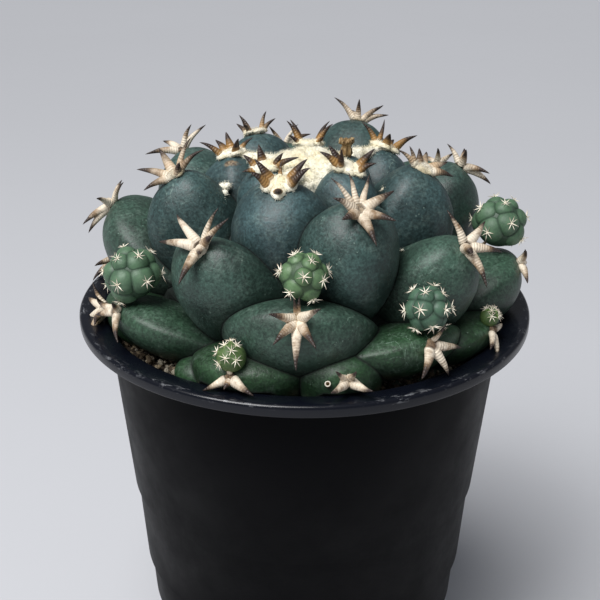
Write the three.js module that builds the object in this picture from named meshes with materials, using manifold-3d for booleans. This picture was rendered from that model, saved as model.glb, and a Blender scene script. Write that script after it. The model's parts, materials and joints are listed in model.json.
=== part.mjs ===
// An elephant tooth cactus, a low mound of fat spiralled tubercles, standing in a black plastic pot.
// Millimetres, +Z up. The origin is the centre of the pot's underside and -Y is the plant's front.
import * as THREE from "three";
import { mergeVertices } from "three/addons/utils/BufferGeometryUtils.js";
import Module from "manifold-3d";

const wasm = await Module();
wasm.setup();

// Pot
const POT_HEIGHT = 155;
const RIM_RADIUS = 75;
const RIM_FACE = 3.1;
const RIM_BEAD = 0.8;
const RIM_INNER_RADIUS = 66.4;
const RIM_SLOPE = 1.3;
const WALL = 1.6;
const FLOOR = 2.5;
const WALL_TOP_RADIUS = 66;
const BASE_RADIUS = 51.4;
const BASE_ROUND = 1.5;
const INNER_BASE_RADIUS = 48.4;
// Each small shelf in the wall: its depth below the rim, and the wall's radius above and below it.
const SHELVES = [
  { depth: 65, above: 60.6, below: 59.6 },
  { depth: 96, above: 57.7, below: 56.5 },
  { depth: 113, above: 55.5, below: 54.3 },
];
const SHELF_HEIGHT = 0.8;
const DRAIN_HOLES = 4;
const DRAIN_RADIUS = 4;
const DRAIN_CIRCLE = 30;
const POT_SEGMENTS = 36;

// Soil, and the grit that lies on it
const SOIL_DEPTH = 6;
const GRAINS = 24;
const GRAIN_RADIUS = 1.7;
const GRAIN_CIRCLE = 61;

// Stem: tubercles are numbered from the crown down, and each is a golden angle on from the last.
const CLEARANCE = 0.35;
const GOLDEN_ANGLE = 137.508;
const TUBERCLES = 43;
const FRONT_TUBERCLE = 21;
const FRONT_AZIMUTH = -2;
const PLANT_RADIUS = 68;
const CROWN_HEIGHT = 49;
const SHOULDER_DROP = 46;
const CORE = [
  [0, 40],
  [20, 38],
  [38, 28],
  [48, 10],
  [50, -4],
  [44, -16],
  [30, -26],
  [0, -30],
];
const CORE_SEGMENTS = 24;
// How far below the rim each tubercle's axis starts, its half width, its half height and its bulge.
const AXIS_START = [[0, -20], [16, -20], [21, -18], [30, -10], [43, -5]];
const HALF_WIDTH = [[0, 5], [3, 10], [8, 15], [13, 17], [16, 19], [21, 24], [26, 23], [34, 22], [43, 20]];
const HALF_HEIGHT = [[0, 6], [3, 11], [8, 18], [13, 19], [16, 18], [21, 15], [26, 13], [34, 12], [43, 11]];
const BULGE = [[0, 10], [3, 16], [8, 26], [13, 30], [16, 32], [21, 30], [26, 26], [34, 24], [43, 22]];
const UPPER_HALF = 0.6;
const LOWER_HALF = 1.15;
const ROUNDNESS = 0.85;
const CORNER = 0.3;
const ARCHING = 0.85;
const ARCH_FADE = 1.3;
const ARCH_POWER = 1.85;
const BACK_DEPTH = 0.35;
const AROUND = 12;
const ALONG = 8;
// The ways in which single tubercles leave the rule: turned, moved out, raised, leaned or resized.
const TUBERCLE_SHAPES = {
  3: { turn: 6, out: 2, wide: 1.15 },
  4: { turn: 1, out: -1, up: -2 },
  5: { turn: -3, out: -1, up: 1 },
  6: { turn: -8, out: -2, up: -2 },
  7: { turn: 4, out: 3, up: -3.5 },
  8: { turn: 1, wide: 1.15 },
  9: { up: -2 },
  10: { turn: 4, out: -2, up: -1.5, wide: 0.92 },
  11: { turn: -10, out: -1, up: -3.5, wide: 0.76 },
  12: { up: 1.5 },
  14: { turn: -4, up: -2 },
  15: { wide: 0.84 },
  16: { turn: 2, up: -3.5, tall: 0.9 },
  18: { out: 1, wide: 0.74, lean: -5 },
  19: { turn: -10, out: 3.5 },
  20: { turn: -6, out: -1, up: 8 },
  21: { up: -1.5 },
  23: { turn: -1, out: 4, wide: 0.9 },
  24: { turn: -4, up: -2.8, wide: 0.82, tall: 0.76, lean: 16 },
  26: { turn: 2, out: -1, up: 2, tall: 0.76, lean: -8 },
  29: { turn: 4, wide: 0.88, lean: 5 },
  31: { turn: -5, up: 1.5, tall: 0.78 },
  32: { out: -1, tall: 0.85 },
  34: { wide: 0.7, tall: 1.2 },
  37: { turn: 7, out: -4, up: -4.5, wide: 0.48 },
  39: { out: -7, up: -6 },
  42: { out: -3, up: -4 },
};

// Areoles: a felt pad with spines. Those of the oldest tubercles are bare, under the rim.
const FIRST_AREOLE = 3;
const LAST_AREOLE = 34;
const LAST_CROWN_AREOLE = 8;
const PAD_RADIUS = 2.9;
const PAD_HEIGHT = 1.7;
const SPINE_RADIUS = 1.5;
const SPINE_SIDES = 4;
// A full grown set: each spine's clock angle (0 is up, 90 is right), its rise from the skin, its length
// and its girth.
const SPINE_SET = [
  [-38, 30, 10, 0.6],
  [40, 28, 10, 0.6],
  [-95, 25, 12, 1],
  [98, 25, 12, 1],
  [-143, 28, 13, 1],
  [140, 28, 13, 1],
  [180, 20, 14, 1],
];
const SPINES = {
  3: [[-155, 14, 8, 0.8], [-110, 38, 8, 1], [-55, 48, 8, 1], [57, 36, 8, 1], [64, 18, 12, 0.9]],
  4: [[65, 22, 8, 0.8], [-50, 20, 8, 0.7], [82, 48, 11, 1], [-80, 42, 11, 1], [116, 52, 11, 0.9],
    [-112, 50, 11, 0.9]],
  5: [[-52, 26, 11, 1.1], [-30, 34, 10, 1], [-60, 62, 8, 0.9], [138, 36, 9, 1], [97, 44, 10, 1]],
  6: [[160, 42, 11, 1], [-143, 40, 9, 1], [-107, 53, 9, 1], [35, 34, 9, 1], [-20, 20, 9, 0.8]],
  7: [[38, 30, 12, 1], [-46, 36, 9, 1.1], [-122, 44, 12, 1.2], [50, 70, 10, 0.9], [150, 30, 9, 1]],
  8: [[-95, 42, 10, 1.15], [-60, 40, 11, 1.1], [50, 30, 12, 1.1], [76, 34, 12, 1.15],
    [170, 34, 6, 1.1], [-5, 30, 8, 0.45]],
  9: [[75, 56, 9, 0.9], [50, 20, 8, 0.7], [-48, 52, 9, 0.8], [-62, 26, 9, 0.8], [150, 40, 9, 1]],
  10: [[-18, 14, 11, 0.7], [-8, 32, 9, 0.7], [30, 40, 7, 0.9], [126, 25, 10, 1.1],
    [150, 11, 11, 1.1], [75, 20, 9, 0.8]],
  11: [[-148, 34, 13, 1], [175, 12, 11, 1], [-88, 41, 12, 1], [50, 35, 7, 1], [-12, 32, 13, 0.8],
    [10, 12, 13, 0.8]],
  12: [[60, 32, 12, 0.85], [-5, 46, 9, 0.75], [-78, 38, 11, 0.85], [-98, 24, 11, 0.95],
    [140, 35, 11, 1]],
  13: [[-33, 20, 13, 0.62], [-5, 20, 12, 0.62], [28, 15, 12, 0.65], [71, 17, 12, 1.05],
    [-73, 31, 10, 1.05], [-120, 24, 9, 1.1], [137, 27, 12, 1.1], [175, 9, 13, 1.1]],
  14: [[130, 26, 13, 1], [-165, 48, 11, 1], [-20, 38, 10, 0.8], [-35, 17, 12, 0.8],
    [-100, 20, 12, 1]],
  15: [[-42, 38, 9, 0.8], [-136, 27, 10, 1], [-160, 12, 12, 1], [95, 35, 10, 1], [30, 20, 9, 0.7]],
  16: [[-57, 12, 14, 1], [20, 30, 13, 0.65], [42, 24, 13, 0.8], [62, 40, 8, 1], [-97, 8, 14, 1.05],
    [175, 18, 14, 1.05], [130, 45, 7, 1.1]],
  18: [[-8, 14, 12, 0.85], [70, 20, 12, 1], [128, 25, 12, 1.05], [-169, 9, 14, 1.05],
    [-118, 40, 7, 1.1]],
  19: [[75, 33, 10, 0.8], [-113, 18, 11, 0.8], [-25, 18, 9, 0.7], [15, 8, 11, 0.7],
    [150, 21, 12, 1], [160, 5, 13, 1]],
  20: [[-20, 18, 9, 0.7], [93, 13, 10, 0.8], [-60, 30, 9, 0.8], [150, 30, 10, 1]],
  21: [[-85, 48, 11, 1], [72, 52, 11, 1], [-140, 42, 13, 1], [146, 40, 13, 1], [180, 21, 15, 1.05],
    [-10, 45, 8, 0.5], [5, 35, 7, 0.5]],
  23: [[85, 22, 9, 0.8], [114, 14, 8, 0.8], [-120, 8, 9, 0.9], [-45, 30, 9, 0.8]],
  24: [[-97, 16, 10, 0.8], [-125, 21, 10, 0.9], [125, 10, 12, 0.9], [55, 40, 7, 0.7]],
  26: [[-140, 14, 11, 1], [160, 8, 11, 1], [108, 6, 11, 0.95], [30, 35, 8, 0.5]],
  29: [[-122, 22, 9, 0.9], [180, 60, 5, 0.8], [108, 24, 10, 1], [0, 30, 6, 0.5]],
  31: [[94, 5, 8, 0.7], [-110, 18, 9, 0.8], [-150, 20, 9, 0.8]],
  34: [[-43, 37, 8, 0.7], [10, 51, 8, 0.7], [-95, 48, 9, 0.95], [100, 55, 9, 0.95]],
};

// Offsets: young plants in the upper axils. Each names its tubercle, its place to the right of that
// tubercle's tip and above it, and its radius.
const PUPS = {
  pup_front: { on: 21, right: 1.3, above: 12.2, forward: -1, radius: 7.3 },
  pup_front_right: { on: 26, right: 1.1, above: 10.5, forward: 0, radius: 6.8 },
  pup_left: { on: 24, right: -1, above: 12, forward: -1.6, radius: 9 },
  pup_lower_left: { on: 29, right: -0.3, above: 5.9, forward: -0.4, radius: 4.5 },
  pup_right: { on: 23, right: 5, above: 13.4, forward: -1.6, radius: 9 },
  pup_lower_right: { on: 31, right: 0.6, above: 4.2, forward: -0.4, radius: 3 },
};
const PUP_TUBERCLES = 24;
const PUP_RELIEF = 0.16;
const PUP_DETAIL = 2;

// Crown wool, and the dried flower that stands in it
const WOOL_CENTRE = [1, -4, 43];
const WOOL_RADII = [14, 13, 8.5];
const WOOL_RELIEF = 0.08;
const WOOL_DETAIL = 1;
const FLOWER_TUBERCLE = 2;
const FLOWER_RADII = [1.6, 2.6];
const FLOWER_HEIGHT = 9;
const FLOWER_SINK = 3;

const COLOURS = {
  pot: { color: 0x14151a, roughness: 0.5 },
  soil: { color: 0x6e5f4a, roughness: 0.95 },
  stem: { color: 0x2f4a3e, roughness: 0.55 },
  pups: { color: 0x4a6b45, roughness: 0.6 },
  spines: { color: 0xb9a98e, roughness: 0.5 },
  wool: { color: 0xe6dfc8, roughness: 0.95 },
  flower: { color: 0xa98c64, roughness: 0.9 },
};

const plant = new THREE.Group();

// A value read off a list of [tubercle, value] pairs, straight between them.
function along(stations, index) {
  const last = stations.length - 1;
  let i = 0;
  while (i < last - 1 && index > stations[i + 1][0]) i++;
  const [from, a] = stations[i];
  const [to, b] = stations[i + 1];
  return THREE.MathUtils.mapLinear(THREE.MathUtils.clamp(index, from, to), from, to, a, b);
}

function solidFrom(geometry) {
  const bare = geometry.clone();
  bare.deleteAttribute("normal");
  bare.deleteAttribute("uv");
  const merged = mergeVertices(bare, 1e-4);
  const vertProperties = new Float32Array(merged.attributes.position.array);
  const triVerts = new Uint32Array(merged.index.array);
  return new wasm.Manifold(new wasm.Mesh({ numProp: 3, vertProperties, triVerts }));
}

function joined(solids) {
  return solids.reduce((whole, solid) => whole.add(solid));
}

// The largest of a solid's separate bodies, with any closed hollow in it filled.
function mainBody(solid) {
  const bodies = solid.decompose();
  return bodies.reduce((best, body) => (body.volume() > best.volume() ? body : best));
}

function addPart(name, solid, finish, tolerance = 0.1) {
  const mesh = solid.simplify(tolerance).getMesh();
  const geometry = new THREE.BufferGeometry();
  geometry.setAttribute("position", new THREE.BufferAttribute(new Float32Array(mesh.vertProperties), 3));
  geometry.setIndex(new THREE.BufferAttribute(new Uint32Array(mesh.triVerts), 1));
  geometry.computeVertexNormals();
  const part = new THREE.Mesh(geometry, new THREE.MeshStandardMaterial({ ...finish, metalness: 0 }));
  part.name = name;
  plant.add(part);
}

// A solid of revolution about the Z axis, from [radius, height] points that run up its outside.
function revolved(profile, segments) {
  const points = profile.map(([radius, height]) => new THREE.Vector2(radius, height));
  return solidFrom(new THREE.LatheGeometry(points, segments).rotateX(Math.PI / 2));
}

// The wall's outer radius at each change of its slope, from the base up.
function wallStations() {
  const stations = [[BASE_RADIUS, BASE_ROUND]];
  for (const { depth, above, below } of [...SHELVES].reverse()) {
    stations.push([below, POT_HEIGHT - depth - SHELF_HEIGHT]);
    stations.push([above, POT_HEIGHT - depth]);
  }
  stations.push([WALL_TOP_RADIUS, POT_HEIGHT - RIM_FACE - RIM_BEAD]);
  return stations;
}

function potProfile() {
  const outside = wallStations();
  const top = POT_HEIGHT;
  const rim = [
    [RIM_RADIUS - 2 * RIM_BEAD, top - RIM_FACE - RIM_BEAD],
    [RIM_RADIUS, top - RIM_FACE],
    [RIM_RADIUS, top - RIM_BEAD],
    [RIM_RADIUS - RIM_BEAD, top],
    [RIM_RADIUS - 3 * RIM_BEAD, top],
    [RIM_INNER_RADIUS, top - RIM_SLOPE],
    [WALL_TOP_RADIUS - WALL, top - RIM_FACE - RIM_BEAD],
    [INNER_BASE_RADIUS, FLOOR],
  ];
  return [[0, 0], [BASE_RADIUS - BASE_ROUND, 0], ...outside, ...rim, [0, FLOOR]];
}

function potSolid() {
  let pot = revolved(potProfile(), POT_SEGMENTS);
  for (let i = 0; i < DRAIN_HOLES; i++) {
    const angle = (2 * Math.PI * (i + 0.5)) / DRAIN_HOLES;
    const drill = new THREE.CylinderGeometry(DRAIN_RADIUS, DRAIN_RADIUS, 4 * FLOOR, 16)
      .rotateX(Math.PI / 2)
      .translate(DRAIN_CIRCLE * Math.cos(angle), DRAIN_CIRCLE * Math.sin(angle), 0);
    pot = pot.subtract(solidFrom(drill));
  }
  return pot;
}

// The top of the pot with a clearance round it, which trims whatever grows over the rim.
function rimClearance() {
  const top = POT_HEIGHT + CLEARANCE;
  const inner = RIM_INNER_RADIUS - CLEARANCE;
  const wall = WALL_TOP_RADIUS - WALL - CLEARANCE;
  const reach = 40;
  const lower = wall - (reach * (wall - INNER_BASE_RADIUS)) / POT_HEIGHT;
  const outside = RIM_RADIUS + CLEARANCE;
  return revolved(
    [
      [lower, top - reach],
      [outside, top - reach],
      [outside, top - RIM_BEAD],
      [RIM_RADIUS - RIM_BEAD + CLEARANCE, top],
      [RIM_RADIUS - 3 * RIM_BEAD, top],
      [inner, top - RIM_SLOPE],
      [wall, top - RIM_FACE - RIM_BEAD],
      [lower, top - reach],
    ],
    POT_SEGMENTS,
  );
}

// A tubercle's tip, and its own axes: right and up along the skin, and outward.
function tubercleFrame(index) {
  const { turn = 0, out = 0, up = 0, lean = 0 } = TUBERCLE_SHAPES[index] ?? {};
  const azimuth = THREE.MathUtils.degToRad(
    FRONT_AZIMUTH - (index - FRONT_TUBERCLE) * GOLDEN_ANGLE + turn,
  );
  const opening = THREE.MathUtils.degToRad(5 + 3.1 * index);
  const radius = opening < Math.PI / 2
    ? PLANT_RADIUS * Math.sin(opening)
    : PLANT_RADIUS - 0.15 * (index - 27.4);
  const down = SHOULDER_DROP * THREE.MathUtils.smoothstep(index, 10, 30);
  const sink = 1.1 * Math.max(0, index - LAST_AREOLE);
  const height = POT_HEIGHT + CROWN_HEIGHT - down - sink + up;
  const outward = new THREE.Vector3(Math.sin(azimuth), -Math.cos(azimuth), 0);
  const right = new THREE.Vector3(Math.cos(azimuth), Math.sin(azimuth), 0);
  const tip = outward.clone().multiplyScalar(radius + out).setZ(height);
  const start = right.clone().multiplyScalar(lean).setZ(POT_HEIGHT + along(AXIS_START, index));
  const forward = tip.clone().sub(start).normalize();
  const above = forward.clone().cross(right);
  return { tip, right, above, forward };
}

// A tubercle: a ball drawn out along its axis, pointed at the sides of its foot and flat behind, with
// its upper side arched between those points.
function tubercle(index, swell = 0) {
  const { tip, right, above, forward } = tubercleFrame(index);
  const { wide = 1, tall = 1 } = TUBERCLE_SHAPES[index] ?? {};
  const width = along(HALF_WIDTH, index) * wide + swell;
  const height = along(HALF_HEIGHT, index) * tall;
  const bulge = along(BULGE, index);
  const centre = tip.clone().addScaledVector(forward, -bulge);
  const ball = new THREE.SphereGeometry(1, AROUND, ALONG);
  const position = ball.attributes.position;
  for (let i = 0; i < position.count; i++) {
    const [x, y, z] = [position.getX(i), position.getY(i), position.getZ(i)];
    const ring = Math.hypot(x, z);
    const [side, rise] = ring > 0 ? [x / ring, -z / ring] : [0, 0];
    const out = y > 0 ? y ** ROUNDNESS : 0;
    const spread = ring ** ROUNDNESS;
    const corner = 1 + CORNER * (1 - out) ** 3;
    const arch = ARCHING * (1 - out) ** ARCH_FADE;
    const across = Math.sign(side) * Math.abs(side) ** corner;
    const upward = rise > 0
      ? UPPER_HALF * (rise * (1 - arch) + (1 - Math.abs(side) ** ARCH_POWER) * arch)
      : -LOWER_HALF * Math.abs(rise) ** corner;
    const reach = y > 0 ? (bulge + swell) * out : bulge * BACK_DEPTH * y;
    const point = centre
      .clone()
      .addScaledVector(right, width * spread * across)
      .addScaledVector(above, spread * (height * upward + swell * rise))
      .addScaledVector(forward, reach);
    position.setXYZ(i, point.x, point.y, point.z);
  }
  return solidFrom(ball);
}

function stemSolid(swell = 0) {
  const core = [...CORE].reverse().map(([radius, height]) => {
    const side = Math.sign(height - CORE[4][1]);
    return [radius > 0 ? radius + swell : 0, POT_HEIGHT + height + side * swell];
  });
  const parts = [revolved(core, CORE_SEGMENTS)];
  for (let index = 0; index < TUBERCLES; index++) parts.push(tubercle(index, swell));
  return joined(parts);
}

// A spine: a slim cone that starts inside the pad.
function spine(frame, [clock, rise, length, girth], radius, swell) {
  const turn = THREE.MathUtils.degToRad(clock);
  const tilt = THREE.MathUtils.degToRad(rise);
  const pointing = new THREE.Vector3()
    .addScaledVector(frame.right, Math.sin(turn) * Math.cos(tilt))
    .addScaledVector(frame.above, Math.cos(turn) * Math.cos(tilt))
    .addScaledVector(frame.forward, Math.sin(tilt));
  const root = frame.tip.clone().addScaledVector(frame.forward, PAD_HEIGHT / 2);
  const end = frame.tip.clone().addScaledVector(pointing, length);
  const axis = end.clone().sub(root);
  const upright = new THREE.Vector3(0, 1, 0);
  const turned = new THREE.Quaternion().setFromUnitVectors(upright, axis.clone().normalize());
  const middle = root.clone().addScaledVector(axis, 0.5);
  const foot = radius * girth + swell;
  const cone = new THREE.ConeGeometry(foot, axis.length(), SPINE_SIDES, 1)
    .applyQuaternion(turned)
    .translate(middle.x, middle.y, middle.z);
  return solidFrom(cone);
}

function areole(index, swell = 0) {
  const frame = tubercleFrame(index);
  const growth = Math.min(1, 0.75 + 0.02 * index);
  const turned = new THREE.Matrix4().makeBasis(frame.right, frame.above, frame.forward);
  const pad = new THREE.IcosahedronGeometry(1, 0)
    .scale(PAD_RADIUS * growth + swell, PAD_RADIUS * growth + swell, PAD_HEIGHT + swell)
    .applyMatrix4(turned)
    .translate(frame.tip.x, frame.tip.y, frame.tip.z);
  const set = SPINES[index] ?? SPINE_SET;
  const radius = SPINE_RADIUS * growth;
  return joined([solidFrom(pad), ...set.map((one) => spine(frame, one, radius, swell))]);
}

// Points spread evenly over a ball, each a golden angle on from the last.
function spreadOverBall(count) {
  const points = [];
  for (let i = 0; i < count; i++) {
    const height = 1 - (2 * i + 1) / count;
    const turn = THREE.MathUtils.degToRad(i * GOLDEN_ANGLE);
    const ring = Math.sqrt(1 - height * height);
    points.push(new THREE.Vector3(ring * Math.cos(turn), ring * Math.sin(turn), height));
  }
  return points;
}

// A ball whose surface rises to a knob at each of a set of points.
function knobbed(detail, knobs, relief) {
  const ball = new THREE.IcosahedronGeometry(1, detail);
  const position = ball.attributes.position;
  const point = new THREE.Vector3();
  for (let i = 0; i < position.count; i++) {
    point.fromBufferAttribute(position, i).normalize();
    const nearest = Math.min(...knobs.map((knob) => knob.distanceTo(point)));
    point.multiplyScalar(1 - relief * Math.min(1, (nearest / 0.45) ** 2));
    position.setXYZ(i, point.x, point.y, point.z);
  }
  return ball;
}

function pup({ on, right, above, forward, radius }, swell = 0) {
  const frame = tubercleFrame(on);
  const centre = frame.tip
    .clone()
    .addScaledVector(frame.right, right)
    .addScaledVector(frame.above, above)
    .addScaledVector(frame.forward, forward);
  const size = radius + swell;
  const ball = knobbed(PUP_DETAIL, spreadOverBall(PUP_TUBERCLES), PUP_RELIEF)
    .scale(size, size, size)
    .translate(centre.x, centre.y, centre.z);
  return solidFrom(ball);
}

function woolSolid(swell = 0) {
  const [x, y, z] = WOOL_CENTRE;
  const mound = knobbed(WOOL_DETAIL, spreadOverBall(PUP_TUBERCLES), WOOL_RELIEF)
    .scale(...WOOL_RADII.map((radius) => radius + swell))
    .translate(x, y, POT_HEIGHT + z);
  return solidFrom(mound);
}

// A withered flower tube, a little wider at its open end.
function flowerSolid() {
  const { tip } = tubercleFrame(FLOWER_TUBERCLE);
  const [foot, mouth] = FLOWER_RADII;
  const tube = new THREE.CylinderGeometry(mouth, foot, FLOWER_HEIGHT, 9, 3).rotateX(Math.PI / 2);
  return solidFrom(tube.translate(tip.x, tip.y, tip.z + FLOWER_HEIGHT / 2 - FLOWER_SINK));
}

function soilSolid() {
  const top = POT_HEIGHT - SOIL_DEPTH;
  const bottom = FLOOR + CLEARANCE;
  const inner = WALL_TOP_RADIUS - WALL;
  const taper = (inner - INNER_BASE_RADIUS) / (POT_HEIGHT - RIM_FACE - RIM_BEAD - FLOOR);
  const fitted = (height) => INNER_BASE_RADIUS + taper * (height - FLOOR) - CLEARANCE;
  const profile = [[0, bottom], [fitted(bottom), bottom], [fitted(top), top], [0, top]];
  const parts = [revolved(profile, POT_SEGMENTS)];
  for (let i = 0; i < GRAINS; i++) {
    const turn = THREE.MathUtils.degToRad((360 * i) / GRAINS);
    const size = GRAIN_RADIUS * (0.75 + 0.35 * Math.sin(5 * i));
    const out = GRAIN_CIRCLE - 2 - 2 * Math.cos(3 * i);
    const grain = new THREE.IcosahedronGeometry(size, 0)
      .rotateX(i)
      .translate(out * Math.cos(turn), out * Math.sin(turn), top + 0.3 * size);
    parts.push(solidFrom(grain));
  }
  return joined(parts);
}

const nearStem = stemSolid(CLEARANCE);
addPart("pot", potSolid(), COLOURS.pot, 0);
addPart("soil", mainBody(soilSolid().subtract(nearStem)), COLOURS.soil);
addPart("stem", mainBody(stemSolid().subtract(rimClearance())), COLOURS.stem, 0.12);

let taken = nearStem.add(rimClearance());
for (const [name, place] of Object.entries(PUPS)) {
  addPart(name, mainBody(pup(place).subtract(taken)), COLOURS.pups);
  taken = taken.add(pup(place, CLEARANCE));
}
for (let index = FIRST_AREOLE; index <= LAST_AREOLE; index++) {
  const name = "spines_" + String(index).padStart(2, "0");
  addPart(name, mainBody(areole(index).subtract(taken)), COLOURS.spines, 0.12);
}

const crownAreoles = [];
for (let index = FIRST_AREOLE; index <= LAST_CROWN_AREOLE; index++) {
  crownAreoles.push(areole(index, CLEARANCE));
}
const wool = mainBody(woolSolid().subtract(nearStem).subtract(joined(crownAreoles)));
addPart("crown_wool", wool, COLOURS.wool);
const beside = nearStem.add(woolSolid(CLEARANCE)).add(joined(crownAreoles));
addPart("dried_flower", mainBody(flowerSolid().subtract(beside)), COLOURS.flower);

export default plant;
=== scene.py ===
"""An elephant tooth cactus in a black plastic pot, with its spines, wool, offsets and grit."""

import json
import math
import random

import bmesh
import bpy
import numpy as np
from bpy.props import FloatProperty, FloatVectorProperty, IntProperty, PointerProperty
from mathutils import Matrix, Vector, noise

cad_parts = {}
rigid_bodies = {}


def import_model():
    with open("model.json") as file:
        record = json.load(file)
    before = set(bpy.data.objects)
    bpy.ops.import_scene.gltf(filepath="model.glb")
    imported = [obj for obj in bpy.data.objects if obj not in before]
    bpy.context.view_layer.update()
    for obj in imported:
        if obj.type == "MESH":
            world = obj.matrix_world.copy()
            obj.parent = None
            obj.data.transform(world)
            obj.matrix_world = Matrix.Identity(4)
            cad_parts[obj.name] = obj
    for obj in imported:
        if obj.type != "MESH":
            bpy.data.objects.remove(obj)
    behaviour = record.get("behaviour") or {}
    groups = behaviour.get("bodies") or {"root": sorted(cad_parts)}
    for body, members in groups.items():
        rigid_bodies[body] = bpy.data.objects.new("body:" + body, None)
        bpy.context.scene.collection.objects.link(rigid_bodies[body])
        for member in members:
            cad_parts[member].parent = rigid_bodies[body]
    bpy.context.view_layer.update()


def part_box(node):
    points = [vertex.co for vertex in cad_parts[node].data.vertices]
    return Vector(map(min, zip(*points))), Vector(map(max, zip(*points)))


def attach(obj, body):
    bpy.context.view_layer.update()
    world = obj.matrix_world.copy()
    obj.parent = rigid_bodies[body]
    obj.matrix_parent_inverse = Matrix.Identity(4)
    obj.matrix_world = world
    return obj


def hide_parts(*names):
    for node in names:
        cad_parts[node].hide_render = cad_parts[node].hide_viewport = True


bl_info = {
    "name": "Elephant tooth cactus",
    "version": (1, 0, 0),
    "blender": (4, 5, 0),
    "location": "3D View > Sidebar > Cactus",
    "description": "Builds a potted elephant tooth cactus round its packed frame",
    "category": "Add Mesh",
}

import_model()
BODY = "root"
MM = 0.001
POT_LOW, POT_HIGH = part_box("pot")
RIM_HEIGHT = POT_HIGH[2]
RIM_RADIUS = POT_HIGH[0]

# The spiral of tubercles, numbered from the crown down, in millimetres and degrees.
GOLDEN_ANGLE = 137.508
TUBERCLES = 43
FRONT_TUBERCLE = 21
# What each tubercle's number sets: where its axis starts below the rim, and its half width, half
# height and bulge.
AXIS_START = [(0, -20), (16, -20), (21, -18), (30, -10), (43, -5)]
HALF_WIDTH = [(0, 5), (3, 10), (8, 15), (13, 17), (16, 19), (21, 24), (26, 23), (34, 22), (43, 20)]
HALF_HEIGHT = [(0, 6), (3, 11), (8, 18), (13, 19), (16, 18), (21, 15), (26, 13), (34, 12), (43, 11)]
BULGE = [(0, 10), (3, 16), (8, 26), (13, 30), (16, 32), (21, 30), (26, 26), (34, 24), (43, 22)]
# How single tubercles leave the rule: turned, moved out, raised, leaned or resized.
OWN_WAYS = {
    3: {"turn": 6, "out": 2, "wide": 1.15},
    4: {"turn": 1, "out": -1, "up": -2},
    5: {"turn": -3, "out": -1, "up": 1},
    6: {"turn": -8, "out": -2, "up": -2},
    7: {"turn": 4, "out": 3, "up": -3.5},
    8: {"turn": 1, "wide": 1.15},
    9: {"up": -2},
    10: {"turn": 4, "out": -2, "up": -1.5, "wide": 0.92},
    11: {"turn": -10, "out": -1, "up": -3.5, "wide": 0.76},
    12: {"up": 1.5},
    14: {"turn": -4, "up": -2},
    15: {"wide": 0.84},
    16: {"turn": 2, "up": -3.5, "tall": 0.9},
    18: {"out": 1, "wide": 0.74, "lean": -5},
    19: {"turn": -10, "out": 3.5},
    20: {"turn": -6, "out": -1, "up": 8},
    21: {"up": -1.5},
    23: {"turn": -1, "out": 4, "wide": 0.9},
    24: {"turn": -4, "up": -2.8, "wide": 0.82, "tall": 0.76, "lean": 16},
    26: {"turn": 2, "out": -1, "up": 2, "tall": 0.76, "lean": -8},
    29: {"turn": 4, "wide": 0.88, "lean": 5},
    31: {"turn": -5, "up": 1.5, "tall": 0.78},
    32: {"out": -1, "tall": 0.85},
    34: {"wide": 0.7, "tall": 1.2},
    37: {"turn": 7, "out": -4, "up": -4.5, "wide": 0.48},
    39: {"out": -7, "up": -6},
    42: {"out": -3, "up": -4},
}
USUAL = {"turn": 0, "out": 0, "up": 0, "wide": 1, "tall": 1, "lean": 0}
CORE = [(0, -30), (30, -26), (44, -16), (50, -4), (47, 9), (33, 23), (20, 36), (0, 40)]

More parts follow.
